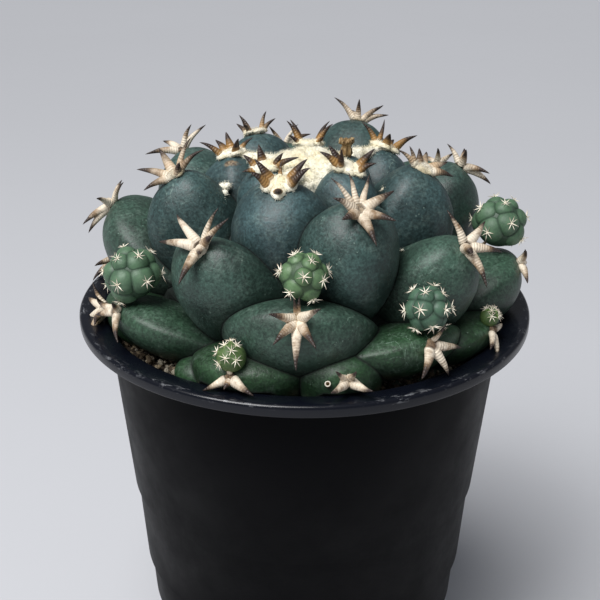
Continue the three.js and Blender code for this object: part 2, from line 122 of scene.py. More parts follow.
# Spines: the clock angle of each (0 is up, 90 is right), its rise from the skin, length and girth.
FIRST_AREOLE = 3
LAST_AREOLE = 34
SPINE_SET = [
    (-38, 30, 10, 0.6),
    (40, 28, 10, 0.6),
    (-95, 25, 12, 1),
    (98, 25, 12, 1),
    (-143, 28, 13, 1),
    (140, 28, 13, 1),
    (180, 20, 14, 1),
]
SPINES = {
    3: [(-155, 14, 8, 0.8), (-110, 38, 8, 1), (-55, 48, 8, 1), (57, 36, 8, 1), (64, 18, 12, 0.9)],
    4: [(65, 22, 8, 0.8), (-50, 20, 8, 0.7), (82, 48, 11, 1), (-80, 42, 11, 1), (116, 52, 11, 0.9),
        (-112, 50, 11, 0.9)],
    5: [(-52, 26, 11, 1.1), (-30, 34, 10, 1), (-60, 62, 8, 0.9), (138, 36, 9, 1), (97, 44, 10, 1)],
    6: [(160, 42, 11, 1), (-143, 40, 9, 1), (-107, 53, 9, 1), (35, 34, 9, 1), (-20, 20, 9, 0.8)],
    7: [(38, 30, 12, 1), (-46, 36, 9, 1.1), (-122, 44, 12, 1.2), (50, 70, 10, 0.9), (150, 30, 9, 1)],
    8: [(-95, 42, 10, 1.15), (-60, 40, 11, 1.1), (50, 30, 12, 1.1), (76, 34, 12, 1.15),
        (170, 34, 6, 1.1), (-5, 30, 8, 0.45)],
    9: [(75, 56, 9, 0.9), (50, 20, 8, 0.7), (-48, 52, 9, 0.8), (-62, 26, 9, 0.8), (150, 40, 9, 1)],
    10: [(-18, 14, 11, 0.7), (-8, 32, 9, 0.7), (30, 40, 7, 0.9), (126, 25, 10, 1.1),
         (150, 11, 11, 1.1), (75, 20, 9, 0.8)],
    11: [(-148, 34, 13, 1), (175, 12, 11, 1), (-88, 41, 12, 1), (50, 35, 7, 1), (-12, 32, 13, 0.8),
         (10, 12, 13, 0.8)],
    12: [(60, 32, 12, 0.85), (-5, 46, 9, 0.75), (-78, 38, 11, 0.85), (-98, 24, 11, 0.95),
         (140, 35, 11, 1)],
    13: [(-33, 20, 13, 0.62), (-5, 20, 12, 0.62), (28, 15, 12, 0.65), (71, 17, 12, 1.05),
         (-73, 31, 10, 1.05), (-120, 24, 9, 1.1), (137, 27, 12, 1.1), (175, 9, 13, 1.1)],
    14: [(130, 26, 13, 1), (-165, 48, 11, 1), (-20, 38, 10, 0.8), (-35, 17, 12, 0.8),
         (-100, 20, 12, 1)],
    15: [(-42, 38, 9, 0.8), (-136, 27, 10, 1), (-160, 12, 12, 1), (95, 35, 10, 1), (30, 20, 9, 0.7)],
    16: [(-57, 12, 14, 1), (20, 30, 13, 0.65), (42, 24, 13, 0.8), (62, 40, 8, 1), (-97, 8, 14, 1.05),
         (175, 18, 14, 1.05), (130, 45, 7, 1.1)],
    18: [(-8, 14, 12, 0.85), (70, 20, 12, 1), (128, 25, 12, 1.05), (-169, 9, 14, 1.05),
         (-118, 40, 7, 1.1)],
    19: [(75, 33, 10, 0.8), (-113, 18, 11, 0.8), (-25, 18, 9, 0.7), (15, 8, 11, 0.7),
         (150, 21, 12, 1), (160, 5, 13, 1)],
    20: [(-20, 18, 9, 0.7), (93, 13, 10, 0.8), (-60, 30, 9, 0.8), (150, 30, 10, 1)],
    21: [(-85, 48, 11, 1), (72, 52, 11, 1), (-140, 42, 13, 1), (146, 40, 13, 1), (180, 21, 15, 1.05),
         (-10, 45, 8, 0.5), (5, 35, 7, 0.5)],
    23: [(85, 22, 9, 0.8), (114, 14, 8, 0.8), (-120, 8, 9, 0.9), (-45, 30, 9, 0.8)],
    24: [(-97, 16, 10, 0.8), (-125, 21, 10, 0.9), (125, 10, 12, 0.9), (55, 40, 7, 0.7)],
    26: [(-140, 14, 11, 1), (160, 8, 11, 1), (108, 6, 11, 0.95), (30, 35, 8, 0.5)],
    29: [(-122, 22, 9, 0.9), (180, 60, 5, 0.8), (108, 24, 10, 1), (0, 30, 6, 0.5)],
    31: [(94, 5, 8, 0.7), (-110, 18, 9, 0.8), (-150, 20, 9, 0.8)],
    34: [(-43, 37, 8, 0.7), (10, 51, 8, 0.7), (-95, 48, 9, 0.95), (100, 55, 9, 0.95)],
}

# Spines of this girth or less stand further out from the middle of their pad.
SLIM = 0.7

# Offsets: the tubercle each grows on, its place right of and above that tubercle's tip, its radius,
# and how grown it is, from a bud (0) to a young plant (1).
MOST_KNOBS = 24
PUPS = {
    "pup_front": {"on": 21, "right": 1.3, "above": 12.2, "forward": -1, "radius": 7.3, "grown": 0.7},
    "pup_front_right": {"on": 26, "right": 1.1, "above": 10.5, "forward": 0, "radius": 6.8,
                        "grown": 1},
    "pup_left": {"on": 24, "right": -1, "above": 12, "forward": -1.6, "radius": 9, "grown": 0.9},
    "pup_lower_left": {"on": 29, "right": -0.3, "above": 5.9, "forward": -0.4, "radius": 4.5,
                       "grown": 0.1},
    "pup_right": {"on": 23, "right": 5, "above": 13.4, "forward": -1.6, "radius": 9, "grown": 0.9},
    "pup_lower_right": {"on": 31, "right": 0.6, "above": 4.2, "forward": -0.4, "radius": 3,
                        "grown": 0},
}

# Small things, in millimetres from the middle of the rim's top.
SCAR = (-24.3, 1.6, 45.9)
STUB = (6.6, -65.4, 1.2)
STUB_LEAN = (-0.1, -0.7, 0.7)
AXIL_TUFTS = [(-26.3, -10.9, 37.8, 0.7), (-26.6, -8.6, 39.0, 1.0), (-25.4, -8.4, 39.2, 1.0),
              (-27.3, -6.0, 40.2, 1.1), (-26.0, -5.8, 40.4, 1.2), (-24.7, -5.8, 40.6, 1.1),
              (24.7, -14.8, 41.0, 0.6), (24.4, -13.2, 41.8, 0.9), (25.3, -12.8, 42.0, 0.8),
              (29.6, -30.4, 28.2, 0.7), (29.0, -31.4, 29.0, 0.6)]
# The oldest tubercle that a ridge of the crown's wool runs out to, and the tufts in each ridge.
OLDEST_IN_WOOL = 8
RIDGE_TUFTS = 70
HAIR_WIDTH = 0.05
# The withered flower's tube, outside and then back down inside: part of its height, and radius.
FLOWER = [(0.0, 1.5), (0.2, 1.8), (0.4, 1.7), (0.55, 1.4), (0.7, 1.8), (0.85, 2.1), (1.0, 2.0),
          (0.98, 1.5), (0.8, 1.1), (0.65, 0.8)]

# The dome that the spiral lies on: how far round it the first tubercle stands and each one after it,
# in degrees, the number at the widest ring and how each later one draws in, the numbers between which
# the tips fall, and how each one sinks that is too old to have spines.
FIRST_OPENING = 5
OPENING_STEP = 3.1
WIDEST_NUMBER = 27.4
DRAWING_IN = 0.15
FALL_FROM, FALL_TO = 10, 30
SINKING = 1.1
# An edge that turns by more than this many degrees is a crease between two knobs.
CREASE_ANGLE = 24

# The pot: radius and height of its outside, from the middle of the base up, and radius and depth below
# the top of its inside, from the rim down. The rim is rounded under and over its edge.
POT_OUTSIDE = [(0, 0), (49.9, 0), (51, 0.4), (51.4, 1.5), (54.3, 41.2), (54.9, 41.6), (55.5, 42),
               (56.5, 58.2), (57.1, 58.6), (57.7, 59), (59.6, 89.2), (60.1, 89.6), (60.6, 90),
               (66, 151.1), (66.6, 151.4), (73.4, 151.1)]
POT_INSIDE = [(71.6, 0.2), (67.2, 1.1), (66.4, 1.5), (65.4, 2.6), (64.4, 4)]
RIM_UNDER_ROUND = 0.8
RIM_TOP_ROUND = 1.2
RIM_FACE = 3.1
INNER_BASE_RADIUS = 48.4
POT_FLOOR = 2.5
WALL_TOP_RADIUS = 66
# The drain holes stand on a circle round the middle of the floor.
DRAIN_HOLES = 4
DRAIN_RADIUS = 4
DRAIN_CIRCLE = 30
# The bed under the grit: radius and height of its foot, the radii of the open ring round its top, and
# how far it lies below the soil's top.
BED_LOW = (47.5, 3)
BED_TOP_RADII = (62.4, 46)
BED_DROP = 1


def srgb(red, green, blue):
    """A colour given as a painter reads it, 0 to 255, as the linear values that shaders take."""
    def linear(level):
        part = level / 255
        return part / 12.92 if part <= 0.04045 else ((part + 0.055) / 1.055) ** 2.4
    return (linear(red), linear(green), linear(blue))


def from_rim(place):
    """A point given in millimetres from the middle of the rim's top."""
    return Vector(place) * MM + Vector((0, 0, RIM_HEIGHT))


def length_property(name, description, metres):
    """A length that the panel shows in the scene's own unit."""
    return FloatProperty(name=name, description=description, default=metres, unit="LENGTH",
                         subtype="DISTANCE", precision=4)


def colour_property(name, description, red, green, blue):
    """A colour that the panel shows as a swatch."""
    return FloatVectorProperty(name=name, description=description, subtype="COLOR", min=0, max=1,
                               default=srgb(red, green, blue))


class CactusPlantSettings(bpy.types.PropertyGroup):
    """The plant's spiral and its skin."""

    golden_angle: FloatProperty(
        name="Golden angle", description="Turn from each tubercle to the next",
        default=math.radians(GOLDEN_ANGLE), subtype="ANGLE", unit="ROTATION")
    front_azimuth: FloatProperty(
        name="Front azimuth", description="Where the front tubercle points, from the plant's front",
        default=math.radians(-2), subtype="ANGLE", unit="ROTATION")
    plant_radius: length_property("Plant radius", "Radius at the widest ring of tips", 68 * MM)
    crown_height: length_property("Crown height", "Height of the crown's tips above the rim", 49 * MM)
    shoulder_drop: length_property("Shoulder drop", "Fall from the crown to the widest ring", 46 * MM)
    skin_rim_gap: length_property("Gap to the rim", "Clearance between the skin and the pot", 0.35 * MM)
    crown_skin: colour_property("Crown skin", "Skin of the young tubercles", 48, 68, 70)
    middle_skin: colour_property("Middle skin", "Skin of the grown tubercles", 50, 72, 61)
    # The low skin is the old tubercles' duller green, painted darker as well to stand for the shade
    # they lie in by the rim.
    low_skin: colour_property("Low skin", "Skin of the old tubercles at the rim", 34, 60, 36)
    bloom: colour_property("Bloom", "The pale wax on the skin", 140, 160, 148)
    pup_skin: colour_property("Offset skin", "Skin of the offsets", 74, 104, 84)


class CactusSpineSettings(bpy.types.PropertyGroup):
    """The areoles and their spines."""

    girth: length_property("Girth", "Radius of a stout spine near its foot", 1.7 * MM)
    bow: FloatProperty(name="Bow", description="How far a spine bows out, against its length",
                       default=0.07, min=0, max=0.4)
    old_horn: colour_property("Old horn", "Grown spines, cream to grey", 230, 217, 196)
    young_horn: colour_property("Young horn", "New spines, amber", 166, 126, 72)
    tip_horn: colour_property("Tip", "The dark tips", 44, 30, 24)
    wool: colour_property("Wool", "The crown's wool and the young felt", 250, 245, 226)


class CactusPotSettings(bpy.types.PropertyGroup):
    """The pot and what fills it."""

    wall: length_property("Wall", "Thickness of the pot's wall", 1.6 * MM)
    soil_depth: length_property("Soil depth", "How far the soil lies below the rim", 6 * MM)
    grain: length_property("Grain", "Middle size of a grain of grit", 1.3 * MM)
    seed: IntProperty(name="Seed", description="Which scatter of grit and hairs is drawn", default=7)
    plastic: colour_property("Plastic", "The pot's black", 4, 4, 6)
    dust: colour_property("Dust", "Dust and scuffs on the rim", 150, 152, 156)


class CactusStageSettings(bpy.types.PropertyGroup):
    """The floor, the lights and the camera."""

    floor: colour_property("Floor", "The pale floor", 200, 201, 205)
    elevation: FloatProperty(name="Elevation", description="How far the camera looks down",
                             default=math.radians(24.35), subtype="ANGLE", unit="ROTATION")
    distance: length_property("Distance", "From the camera to the rim's centre", 0.356)
    lens: FloatProperty(name="Lens", description="Focal length in millimetres", default=63, min=20,
                        max=200, subtype="DISTANCE_CAMERA")


class CactusSettings(bpy.types.PropertyGroup):
    """Everything that the panel shows."""

    plant: PointerProperty(type=CactusPlantSettings)
    spines: PointerProperty(type=CactusSpineSettings)
    pot: PointerProperty(type=CactusPotSettings)
    stage: PointerProperty(type=CactusStageSettings)


def is_vector(value):
    if isinstance(value, Wire):
        return value.socket.type in ("VECTOR", "RGBA")
    return hasattr(value, "__len__")


class Wire:
    """A node's output that can be used in sums, so that a pattern reads as a formula."""

    def __init__(self, net, socket):
        self.net = net
        self.socket = socket

    def out(self, name):
        """Another output of the same node."""
        return Wire(self.net, pick(self.socket.node.outputs, name))

    def sum_of(self, operation, first, second):
        if not (is_vector(first) or is_vector(second)):
            return self.net.node("ShaderNodeMath", {"operation": operation}, {0: first, 1: second})
        if operation == "MULTIPLY" and not (is_vector(first) and is_vector(second)):
            vector, number = (first, second) if is_vector(first) else (second, first)
            return self.net.node("ShaderNodeVectorMath", {"operation": "SCALE"},
                                 {"Vector": vector, "Scale": number})
        return self.net.node("ShaderNodeVectorMath", {"operation": operation}, {0: first, 1: second})

    def __add__(self, other):
        return self.sum_of("ADD", self, other)

    def __radd__(self, other):
        return self.sum_of("ADD", other, self)

    def __sub__(self, other):
        return self.sum_of("SUBTRACT", self, other)

    def __rsub__(self, other):
        return self.sum_of("SUBTRACT", other, self)

    def __mul__(self, other):
        return self.sum_of("MULTIPLY", self, other)

    def __rmul__(self, other):
        return self.sum_of("MULTIPLY", other, self)

    def __truediv__(self, other):
        return self.sum_of("DIVIDE", self, other)

    def __pow__(self, other):
        return self.sum_of("POWER", self, other)

    def __gt__(self, other):
        return self.sum_of("GREATER_THAN", self, other)

    def __lt__(self, other):
        return self.sum_of("LESS_THAN", self, other)


def pick(sockets, key):
    """A socket by its place, or the enabled one of that name."""
    if isinstance(key, int):
        return sockets[key]
    return next(socket for socket in sockets if socket.name == key and socket.enabled)


class Net:
    """A node tree that is written as expressions."""

    def __init__(self, tree):
        self.tree = tree
        self.values = {}

    def node(self, kind, settings=None, sockets=None):
        """Adds a node: its settings first, then the value or link of each named socket."""
        node = self.tree.nodes.new(kind)
        for key, value in (settings or {}).items():
            if key == "stops":
                fill_ramp(node.color_ramp, value)
            elif key == "stations":
                fill_curve(node.mapping, value)
            else:
                setattr(node, key, value)
        for key, value in (sockets or {}).items():
            self.feed(pick(node.inputs, key), value)
        first = next((socket for socket in node.outputs if socket.enabled), None)
        return Wire(self, first) if first else node

    def feed(self, socket, value):
        if isinstance(value, Wire):
            self.tree.links.new(value.socket, socket)
        elif isinstance(value, (list, tuple)) and isinstance(value[0], Wire):
            for one in value:
                self.tree.links.new(one.socket, socket)
        elif socket.type == "RGBA" and len(value) == 3:
            socket.default_value = (*value, 1)
        elif socket.type in ("VECTOR", "RGBA") and not hasattr(value, "__len__"):
            socket.default_value = (value,) * 3
        else:
            socket.default_value = value

    def maths(self, operation, *values):
        """One Math node, for what has no sign of its own, such as SINE or MAXIMUM."""
        return self.node("ShaderNodeMath", {"operation": operation}, dict(enumerate(values)))

    def vectors(self, operation, *values):
        return self.node("ShaderNodeVectorMath", {"operation": operation}, dict(enumerate(values)))

    def xyz(self, x, y, z):
        return self.node("ShaderNodeCombineXYZ", None, {"X": x, "Y": y, "Z": z})

    def axes(self, vector):
        return self.node("ShaderNodeSeparateXYZ", None, {"Vector": vector})

    def ranged(self, value, low, high, to_low=0.0, to_high=1.0, smooth=False):
        """A value taken from one range to another and held at its ends."""
        kind = "SMOOTHSTEP" if smooth else "LINEAR"
        return self.node("ShaderNodeMapRange", {"interpolation_type": kind}, {
            "Value": value, "From Min": low, "From Max": high, "To Min": to_low, "To Max": to_high})

    def mixed(self, factor, first, second, blend="MIX"):
        """Two colours mixed."""
        return self.node("ShaderNodeMix", {"data_type": "RGBA", "blend_type": blend},
                         {"Factor": factor, "A": first, "B": second})

    def noise(self, where, scale, detail=3.0, roughness=0.5, distortion=0.0):
        return self.node("ShaderNodeTexNoise", None, {
            "Vector": where, "Scale": scale, "Detail": detail, "Roughness": roughness,
            "Distortion": distortion})

    def cells(self, where, scale, feature="F1"):
        return self.node("ShaderNodeTexVoronoi", {"feature": feature},
                         {"Vector": where, "Scale": scale})


def fill_ramp(ramp, stops):
    """Sets a colour ramp's stops, each a place and a colour."""
    while len(ramp.elements) < len(stops):
        ramp.elements.new(1)
    for element, (place, colour) in zip(ramp.elements, stops):
        element.position = place
        element.color = (*colour, 1)


def fill_curve(mapping, stations):
    """Sets a float curve to straight lines between stations."""
    curve = mapping.curves[0]
    while len(curve.points) < len(stations):
        curve.points.new(0.5, 0.5)
    for point, (place, value) in zip(curve.points, stations):
        point.location = (place, value)
        point.handle_type = "VECTOR"
    mapping.use_clip = False
    mapping.update()


class GeometryNet(Net):
    """A geometry tree that takes a base mesh and named inputs, and ends in one plain mesh."""

    def __init__(self, name):
        super().__init__(bpy.data.node_groups.new(name, "GeometryNodeTree"))
        self.tree.interface.new_socket("Geometry", in_out="INPUT", socket_type="NodeSocketGeometry")
        self.tree.interface.new_socket("Geometry", in_out="OUTPUT", socket_type="NodeSocketGeometry")
        self.entry = self.tree.nodes.new("NodeGroupInput")
        self.exit = self.tree.nodes.new("NodeGroupOutput")
        self.base = Wire(self, self.entry.outputs["Geometry"])

    def given(self, name, kind, value):
        """A named input of the tree, and the value that this build gives it."""
        socket = self.tree.interface.new_socket(name, in_out="INPUT", socket_type="NodeSocket" + kind)
        self.values[socket.identifier] = value
        return Wire(self, self.entry.outputs[name])

    def give(self, name, value):
        """Another value for a named input."""
        item = next(item for item in self.tree.interface.items_tree if item.name == name)
        self.values[item.identifier] = value

    def named(self, name, kind="FLOAT"):
        return self.node("GeometryNodeInputNamedAttribute", {"data_type": kind}, {"Name": name})

    def arrow(self, name):
        """A named vector that the base points carry."""
        return self.named(name, "FLOAT_VECTOR")

    def stored(self, geometry, name, value, kind="FLOAT", domain="POINT"):
        return self.node("GeometryNodeStoreNamedAttribute", {"data_type": kind, "domain": domain},
                         {"Geometry": geometry, "Name": name, "Value": value})

    def shape(self, name, helper):
        """The mesh of a helper object, which is one of the tree's named inputs."""
        chosen = self.given(name, "Object", helper)
        info = self.node("GeometryNodeObjectInfo", {"transform_space": "ORIGINAL"}, {"Object": chosen})
        return info.out("Geometry")

    def place(self):
        return self.node("GeometryNodeInputPosition")

    def normal(self):
        return self.node("GeometryNodeInputNormal")

    def turn_by(self, angles):
        return self.node("FunctionNodeEulerToRotation", None, {"Euler": angles})

    def chance(self, low, high, seed, kind="FLOAT", owner=None):
        """A random value between two, for each element or for each owner's number."""
        sockets = {"Min": low, "Max": high, "Seed": seed}
        if owner is not None:
            sockets["ID"] = owner
        return self.node("FunctionNodeRandomValue", {"data_type": kind}, sockets)

    def united(self, geometries):
        return self.node("GeometryNodeMeshBoolean", {"operation": "UNION", "solver": "MANIFOLD"},
                         {"Mesh": geometries})

    def cut(self, geometry, cutter):
        return self.node("GeometryNodeMeshBoolean", {"operation": "DIFFERENCE", "solver": "MANIFOLD"},
                         {"Mesh 1": geometry, "Mesh 2": cutter})

    def planted(self, points, instance, **sockets):
        """An instance on each point, with its selection, rotation and scale by name."""
        named = {key.capitalize(): value for key, value in sockets.items()}
        return self.node("GeometryNodeInstanceOnPoints", None,
                         {"Points": points, "Instance": instance, **named})

    def smoothed(self, geometry, smooth=True):
        return self.node("GeometryNodeSetShadeSmooth", None,
                         {"Geometry": geometry, "Shade Smooth": smooth})

    def sharpened(self, geometry, edges):
        """Keeps the chosen edges sharp in a smooth surface."""
        return self.node("GeometryNodeSetShadeSmooth", {"domain": "EDGE"},
                         {"Geometry": geometry, "Selection": edges, "Shade Smooth": False})

    def real(self, geometry):
        return self.node("GeometryNodeRealizeInstances", None, {"Geometry": geometry})

    def moved(self, geometry, offset):
        return self.node("GeometryNodeSetPosition", None, {"Geometry": geometry, "Offset": offset})

    def roughened(self, geometry, depth, scale, detail, roughness=0.5):
        """Moves a surface in and out along its normals by a noise."""
        lumps = self.noise(self.place(), scale, detail, roughness)
        return self.moved(geometry, self.normal() * ((lumps - 0.5) * depth))

    def joined(self, *geometries):
        return self.node("GeometryNodeJoinGeometry", None, {"Geometry": list(geometries)})

    def finished(self, geometry, material):
        """Real mesh with its material, which is where each stream of a tree ends."""
        return self.node("GeometryNodeSetMaterial", None,
                         {"Geometry": self.real(geometry), "Material": material})

    def give_back(self, geometry):
        self.tree.links.new(geometry.socket, self.exit.inputs["Geometry"])


def link(name, mesh):
    """A new object in the scene, for a mesh, a light or a camera."""
    piece = bpy.data.objects.new(name, mesh)
    bpy.context.scene.collection.objects.link(piece)
    return piece


def grown(name, base_mesh, net):
    """Runs a geometry tree on a base mesh and keeps the result as a plain mesh."""
    piece = link(name, base_mesh)
    modifier = piece.modifiers.new("Grow", "NODES")
    modifier.node_group = net.tree
    for identifier, value in net.values.items():
        modifier[identifier] = value
    depsgraph = bpy.context.evaluated_depsgraph_get()
    mesh = bpy.data.meshes.new_from_object(
        piece.evaluated_get(depsgraph), preserve_all_data_layers=True, depsgraph=depsgraph)
    piece.modifiers.remove(modifier)
    piece.data = mesh
    mesh.name = name
    return piece


def carry(mesh, name, values):
    """Stores a number or a vector on each point of a mesh."""
    vectors = hasattr(values[0], "__len__")
    layer = mesh.attributes.new(name, "FLOAT_VECTOR" if vectors else "FLOAT", "POINT")
    flat = np.asarray([tuple(v) if vectors else v for v in values], float).ravel()
    layer.data.foreach_set("vector" if vectors else "value", flat)


def seeds(name, positions, known):
    """A mesh of loose points that carries what is known of each: numbers or vectors by name."""
    mesh = bpy.data.meshes.new(name)
    mesh.from_pydata([tuple(p) for p in positions], [], [])
    for key, values in known.items():
        carry(mesh, key, values)
    return mesh


def ringed(name, rings):
    """A closed mesh through rings of points. A ring of one point is a pole, and rings with no poles
    at the ends close on each other."""
    points = []
    starts = []
    for ring in rings:
        starts.append(len(points))
        points.extend(tuple(p) for p in ring)
    faces = []
    pairs = list(zip(range(len(rings) - 1), range(1, len(rings))))
    if len(rings[0]) > 1 and len(rings[-1]) > 1:
        pairs.append((len(rings) - 1, 0))
    for low, high in pairs:
        a, b = starts[low], starts[high]
        size = max(len(rings[low]), len(rings[high]))
        for i in range(size):
            j = (i + 1) % size
            if len(rings[low]) == 1:
                faces.append((a, b + j, b + i))
            elif len(rings[high]) == 1:
                faces.append((a + i, a + j, b))
            else:
                faces.append((a + i, a + j, b + j, b + i))
    mesh = bpy.data.meshes.new(name)
    mesh.from_pydata(points, [], faces)
    if enclosed(mesh) < 0:
        mesh.flip_normals()
    mesh.polygons.foreach_set("use_smooth", [True] * len(mesh.polygons))
    return mesh


def in_triangles(mesh):
    """The same mesh in triangles, so that every tool splits its bent quads alike."""
    work = bmesh.new()
    work.from_mesh(mesh)
    bmesh.ops.triangulate(work, faces=work.faces)
    work.to_mesh(mesh)
    work.free()
    return mesh


def enclosed(mesh):
    """A closed mesh's volume, which is below zero where its faces point inwards."""
    mesh.calc_loop_triangles()
    spots = [vertex.co for vertex in mesh.vertices]
    return sum(spots[a].dot(spots[b].cross(spots[c])) / 6
               for a, b, c in (t.vertices for t in mesh.loop_triangles))


def circle(radius, height, sides):
    """A ring round Z, or its one point where the radius is nothing."""
    if radius <= 0:
        return [(0, 0, height)]
    turns = (2 * math.pi * i / sides for i in range(sides))
    return [(radius * math.cos(t), radius * math.sin(t), height) for t in turns]


def turned(name, profile, sides):
    """A solid of revolution about Z from its radius and height stations."""
    return ringed(name, [circle(radius, height, sides) for radius, height in profile])


def finish(piece, slot, *nodes):
    """Says what a finished piece is: its body and the frame nodes it stands for. The slot it is given
    is not used.
    """
    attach(piece, BODY)
    if nodes:
        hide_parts(*nodes)
    return piece


# Materials


def shaded(name, constants, paint):
    """A material. The constants sit on the shader's own sockets, and paint gives what varies."""
    material = bpy.data.materials.new(name)
    material.use_nodes = True
    net = Net(material.node_tree)
    shader = material.node_tree.nodes["Principled BSDF"]
    where = net.node("ShaderNodeTexCoord").out("Object")
    for key, value in {**constants, **paint(net, where)}.items():
        net.feed(shader.inputs[key], value)
    return material


def bumped(net, height, distance, strength):
    return net.node("ShaderNodeBump", None,
                    {"Height": height, "Distance": distance, "Strength": strength})


def surface(net, colour, roughness, height, distance, strength):
    """What varies over a finish: its colour, its roughness, and its relief."""
    return {"Base Color": colour, "Roughness": roughness,
            "Normal": bumped(net, height, distance, strength)}


def attribute(net, name, output="Fac"):
    return net.node("ShaderNodeAttribute", {"attribute_name": name}).out(output)


def attributes(net, *names):
    """The numbers of those names that the mesh carries."""
    return [attribute(net, name) for name in names]


def skin_material(settings):
    """Waxy green skin: mottled, bloomed, finely striped round each tip, scratched, with painted shade
    in the creases.
    """

    def paint(net, where):
        age, tint, crease = attributes(net, "age", "tint", "crease")
        local = attribute(net, "local", "Vector")
        upper = net.mixed(net.ranged(age, 0.2, 0.42), settings.crown_skin, settings.middle_skin)
        # Partly painted shade: the lowest, oldest tubercles take the darker low skin.
        base = net.mixed(net.ranged(age, 0.5, 0.62), upper, settings.low_skin)
        broad = net.noise(where + tint * 3.7, 70, 4, 0.6)
        fine = net.noise(where, 900, 4, 0.65)
        grain = net.noise(where, 1500, 2, 0.5)
        mottle = net.ranged(broad, 0.3, 0.7, 0.6, 1.4) * net.ranged(fine, 0.35, 0.65, 0.62, 1.38)
        reach = net.vectors("LENGTH", local)
        # The mottle is also made lighter near each tip and darker towards the tubercle's foot.
        mottle = mottle * net.ranged(grain, 0.3, 0.7, 0.72, 1.28) * net.ranged(
            reach, 6 * MM, 26 * MM, 1.15, 0.78)
        toned = net.mixed(1.0, base, net.node("ShaderNodeCombineColor", None, {
            "Red": mottle, "Green": mottle, "Blue": mottle}), "MULTIPLY")
        patches = net.noise(where + (0.31, 0.17, 0.53), 160, 5, 0.7)
        bloomed = net.mixed(net.ranged(patches, 0.5, 0.78, 0.0, 0.28) * net.ranged(fine, 0.35, 0.65),
                            toned, settings.bloom)
        wander = net.noise(where, 55, 2)
        stripes = net.maths("SINE", (reach + wander * 0.004) * 5200)
        striped = net.mixed(net.ranged(stripes, 0.2, 1.0, 0.0, 0.08) * net.ranged(patches, 0.5, 0.62),
                            bloomed, settings.bloom)
        threads = net.cells(net.noise(where, 45, 3).out("Color") * 0.02 + where, 130,
                            "DISTANCE_TO_EDGE")
        worn = net.ranged(net.noise(where + (0.8, 0.2, 0.1), 38, 3), 0.56, 0.66)
        broken = net.ranged(fine, 0.45, 0.6)
        scratched = net.mixed((threads < 0.012) * worn * broken * 0.5, striped, settings.bloom)
        flecks = net.cells(where, 620) < 0.13
        rare = net.ranged(net.noise(where, 120, 2), 0.55, 0.62)
        flecked = net.mixed(flecks * rare * 0.45, scratched, settings.bloom)
        stretch = Vector((0.5, 1, 1))
        scar_place = from_rim(SCAR) * stretch
        near_scar = net.vectors("DISTANCE", where * tuple(stretch), tuple(scar_place))
        corky = net.ranged(near_scar + (fine - 0.5) * (3 * MM), 0.9 * MM, 1.6 * MM, 0.9, 0.0)
        cork = net.mixed(net.ranged(fine, 0.4, 0.6), srgb(58, 44, 34), srgb(160, 138, 108))
        scarred = net.mixed(corky, flecked, cork)
        # Painted shade: the skin darkens towards the creases between tubercles, darkest at their
        # bottoms and on the deep core.
        shadow = net.ranged(crease, 0.0, 5 * MM, 0.42, 0.0, True)
        crease_shade = net.ranged(crease, 0.0, 0.8 * MM, 0.75, 0.0, True)
        shaded_skin = net.mixed(shadow, scarred, srgb(20, 34, 28))
        colour = net.mixed(crease_shade, shaded_skin, srgb(10, 15, 12))
        relief = broad * 0.5 + fine * 0.4 + grain * 0.15 + (threads < 0.012) * worn * 0.2
        return surface(net, colour, net.ranged(fine + patches, 0.7, 1.3, 0.38, 0.6) + crease_shade * 0.45,
                       relief, 0.0006, 0.7)

    return shaded("cactus_skin", {"Specular IOR Level": 0.45, "Coat Weight": 0.06,
                                  "Coat Roughness": 0.35}, paint)


def pup_material(settings):
    """The offsets' fresher skin, with painted light on each knob's top and painted shade in the
    furrows.
    """

    def paint(net, where):
        crease, grown_up = attributes(net, "crease", "grown")
        mottle = net.noise(where, 420, 5, 0.6)
        fresh = net.mixed(grown_up, srgb(128, 160, 84), settings.pup_skin)
        dusk = net.mixed(0.45, fresh, srgb(36, 58, 46))
        toned = net.mixed(net.ranged(mottle, 0.4, 0.65), fresh, dusk)
        # Painted light: the skin pales away from the furrows, on each knob's top.
        lit_knob_tops = net.mixed(net.ranged(crease, 1 * MM, 3.5 * MM, 0.0, 0.16, True), toned,
                          srgb(140, 168, 138))
        # Painted shade: the skin darkens into the furrows between knobs.
        colour = net.mixed(net.ranged(crease, 0.0, 0.8 * MM, 0.6, 0.0, True), lit_knob_tops, srgb(20, 38, 28))
        return surface(net, colour, net.ranged(mottle, 0.3, 0.7, 0.42, 0.6),
                       mottle, 0.0004, 0.5)

    return shaded("offset_skin", {"Specular IOR Level": 0.45}, paint)


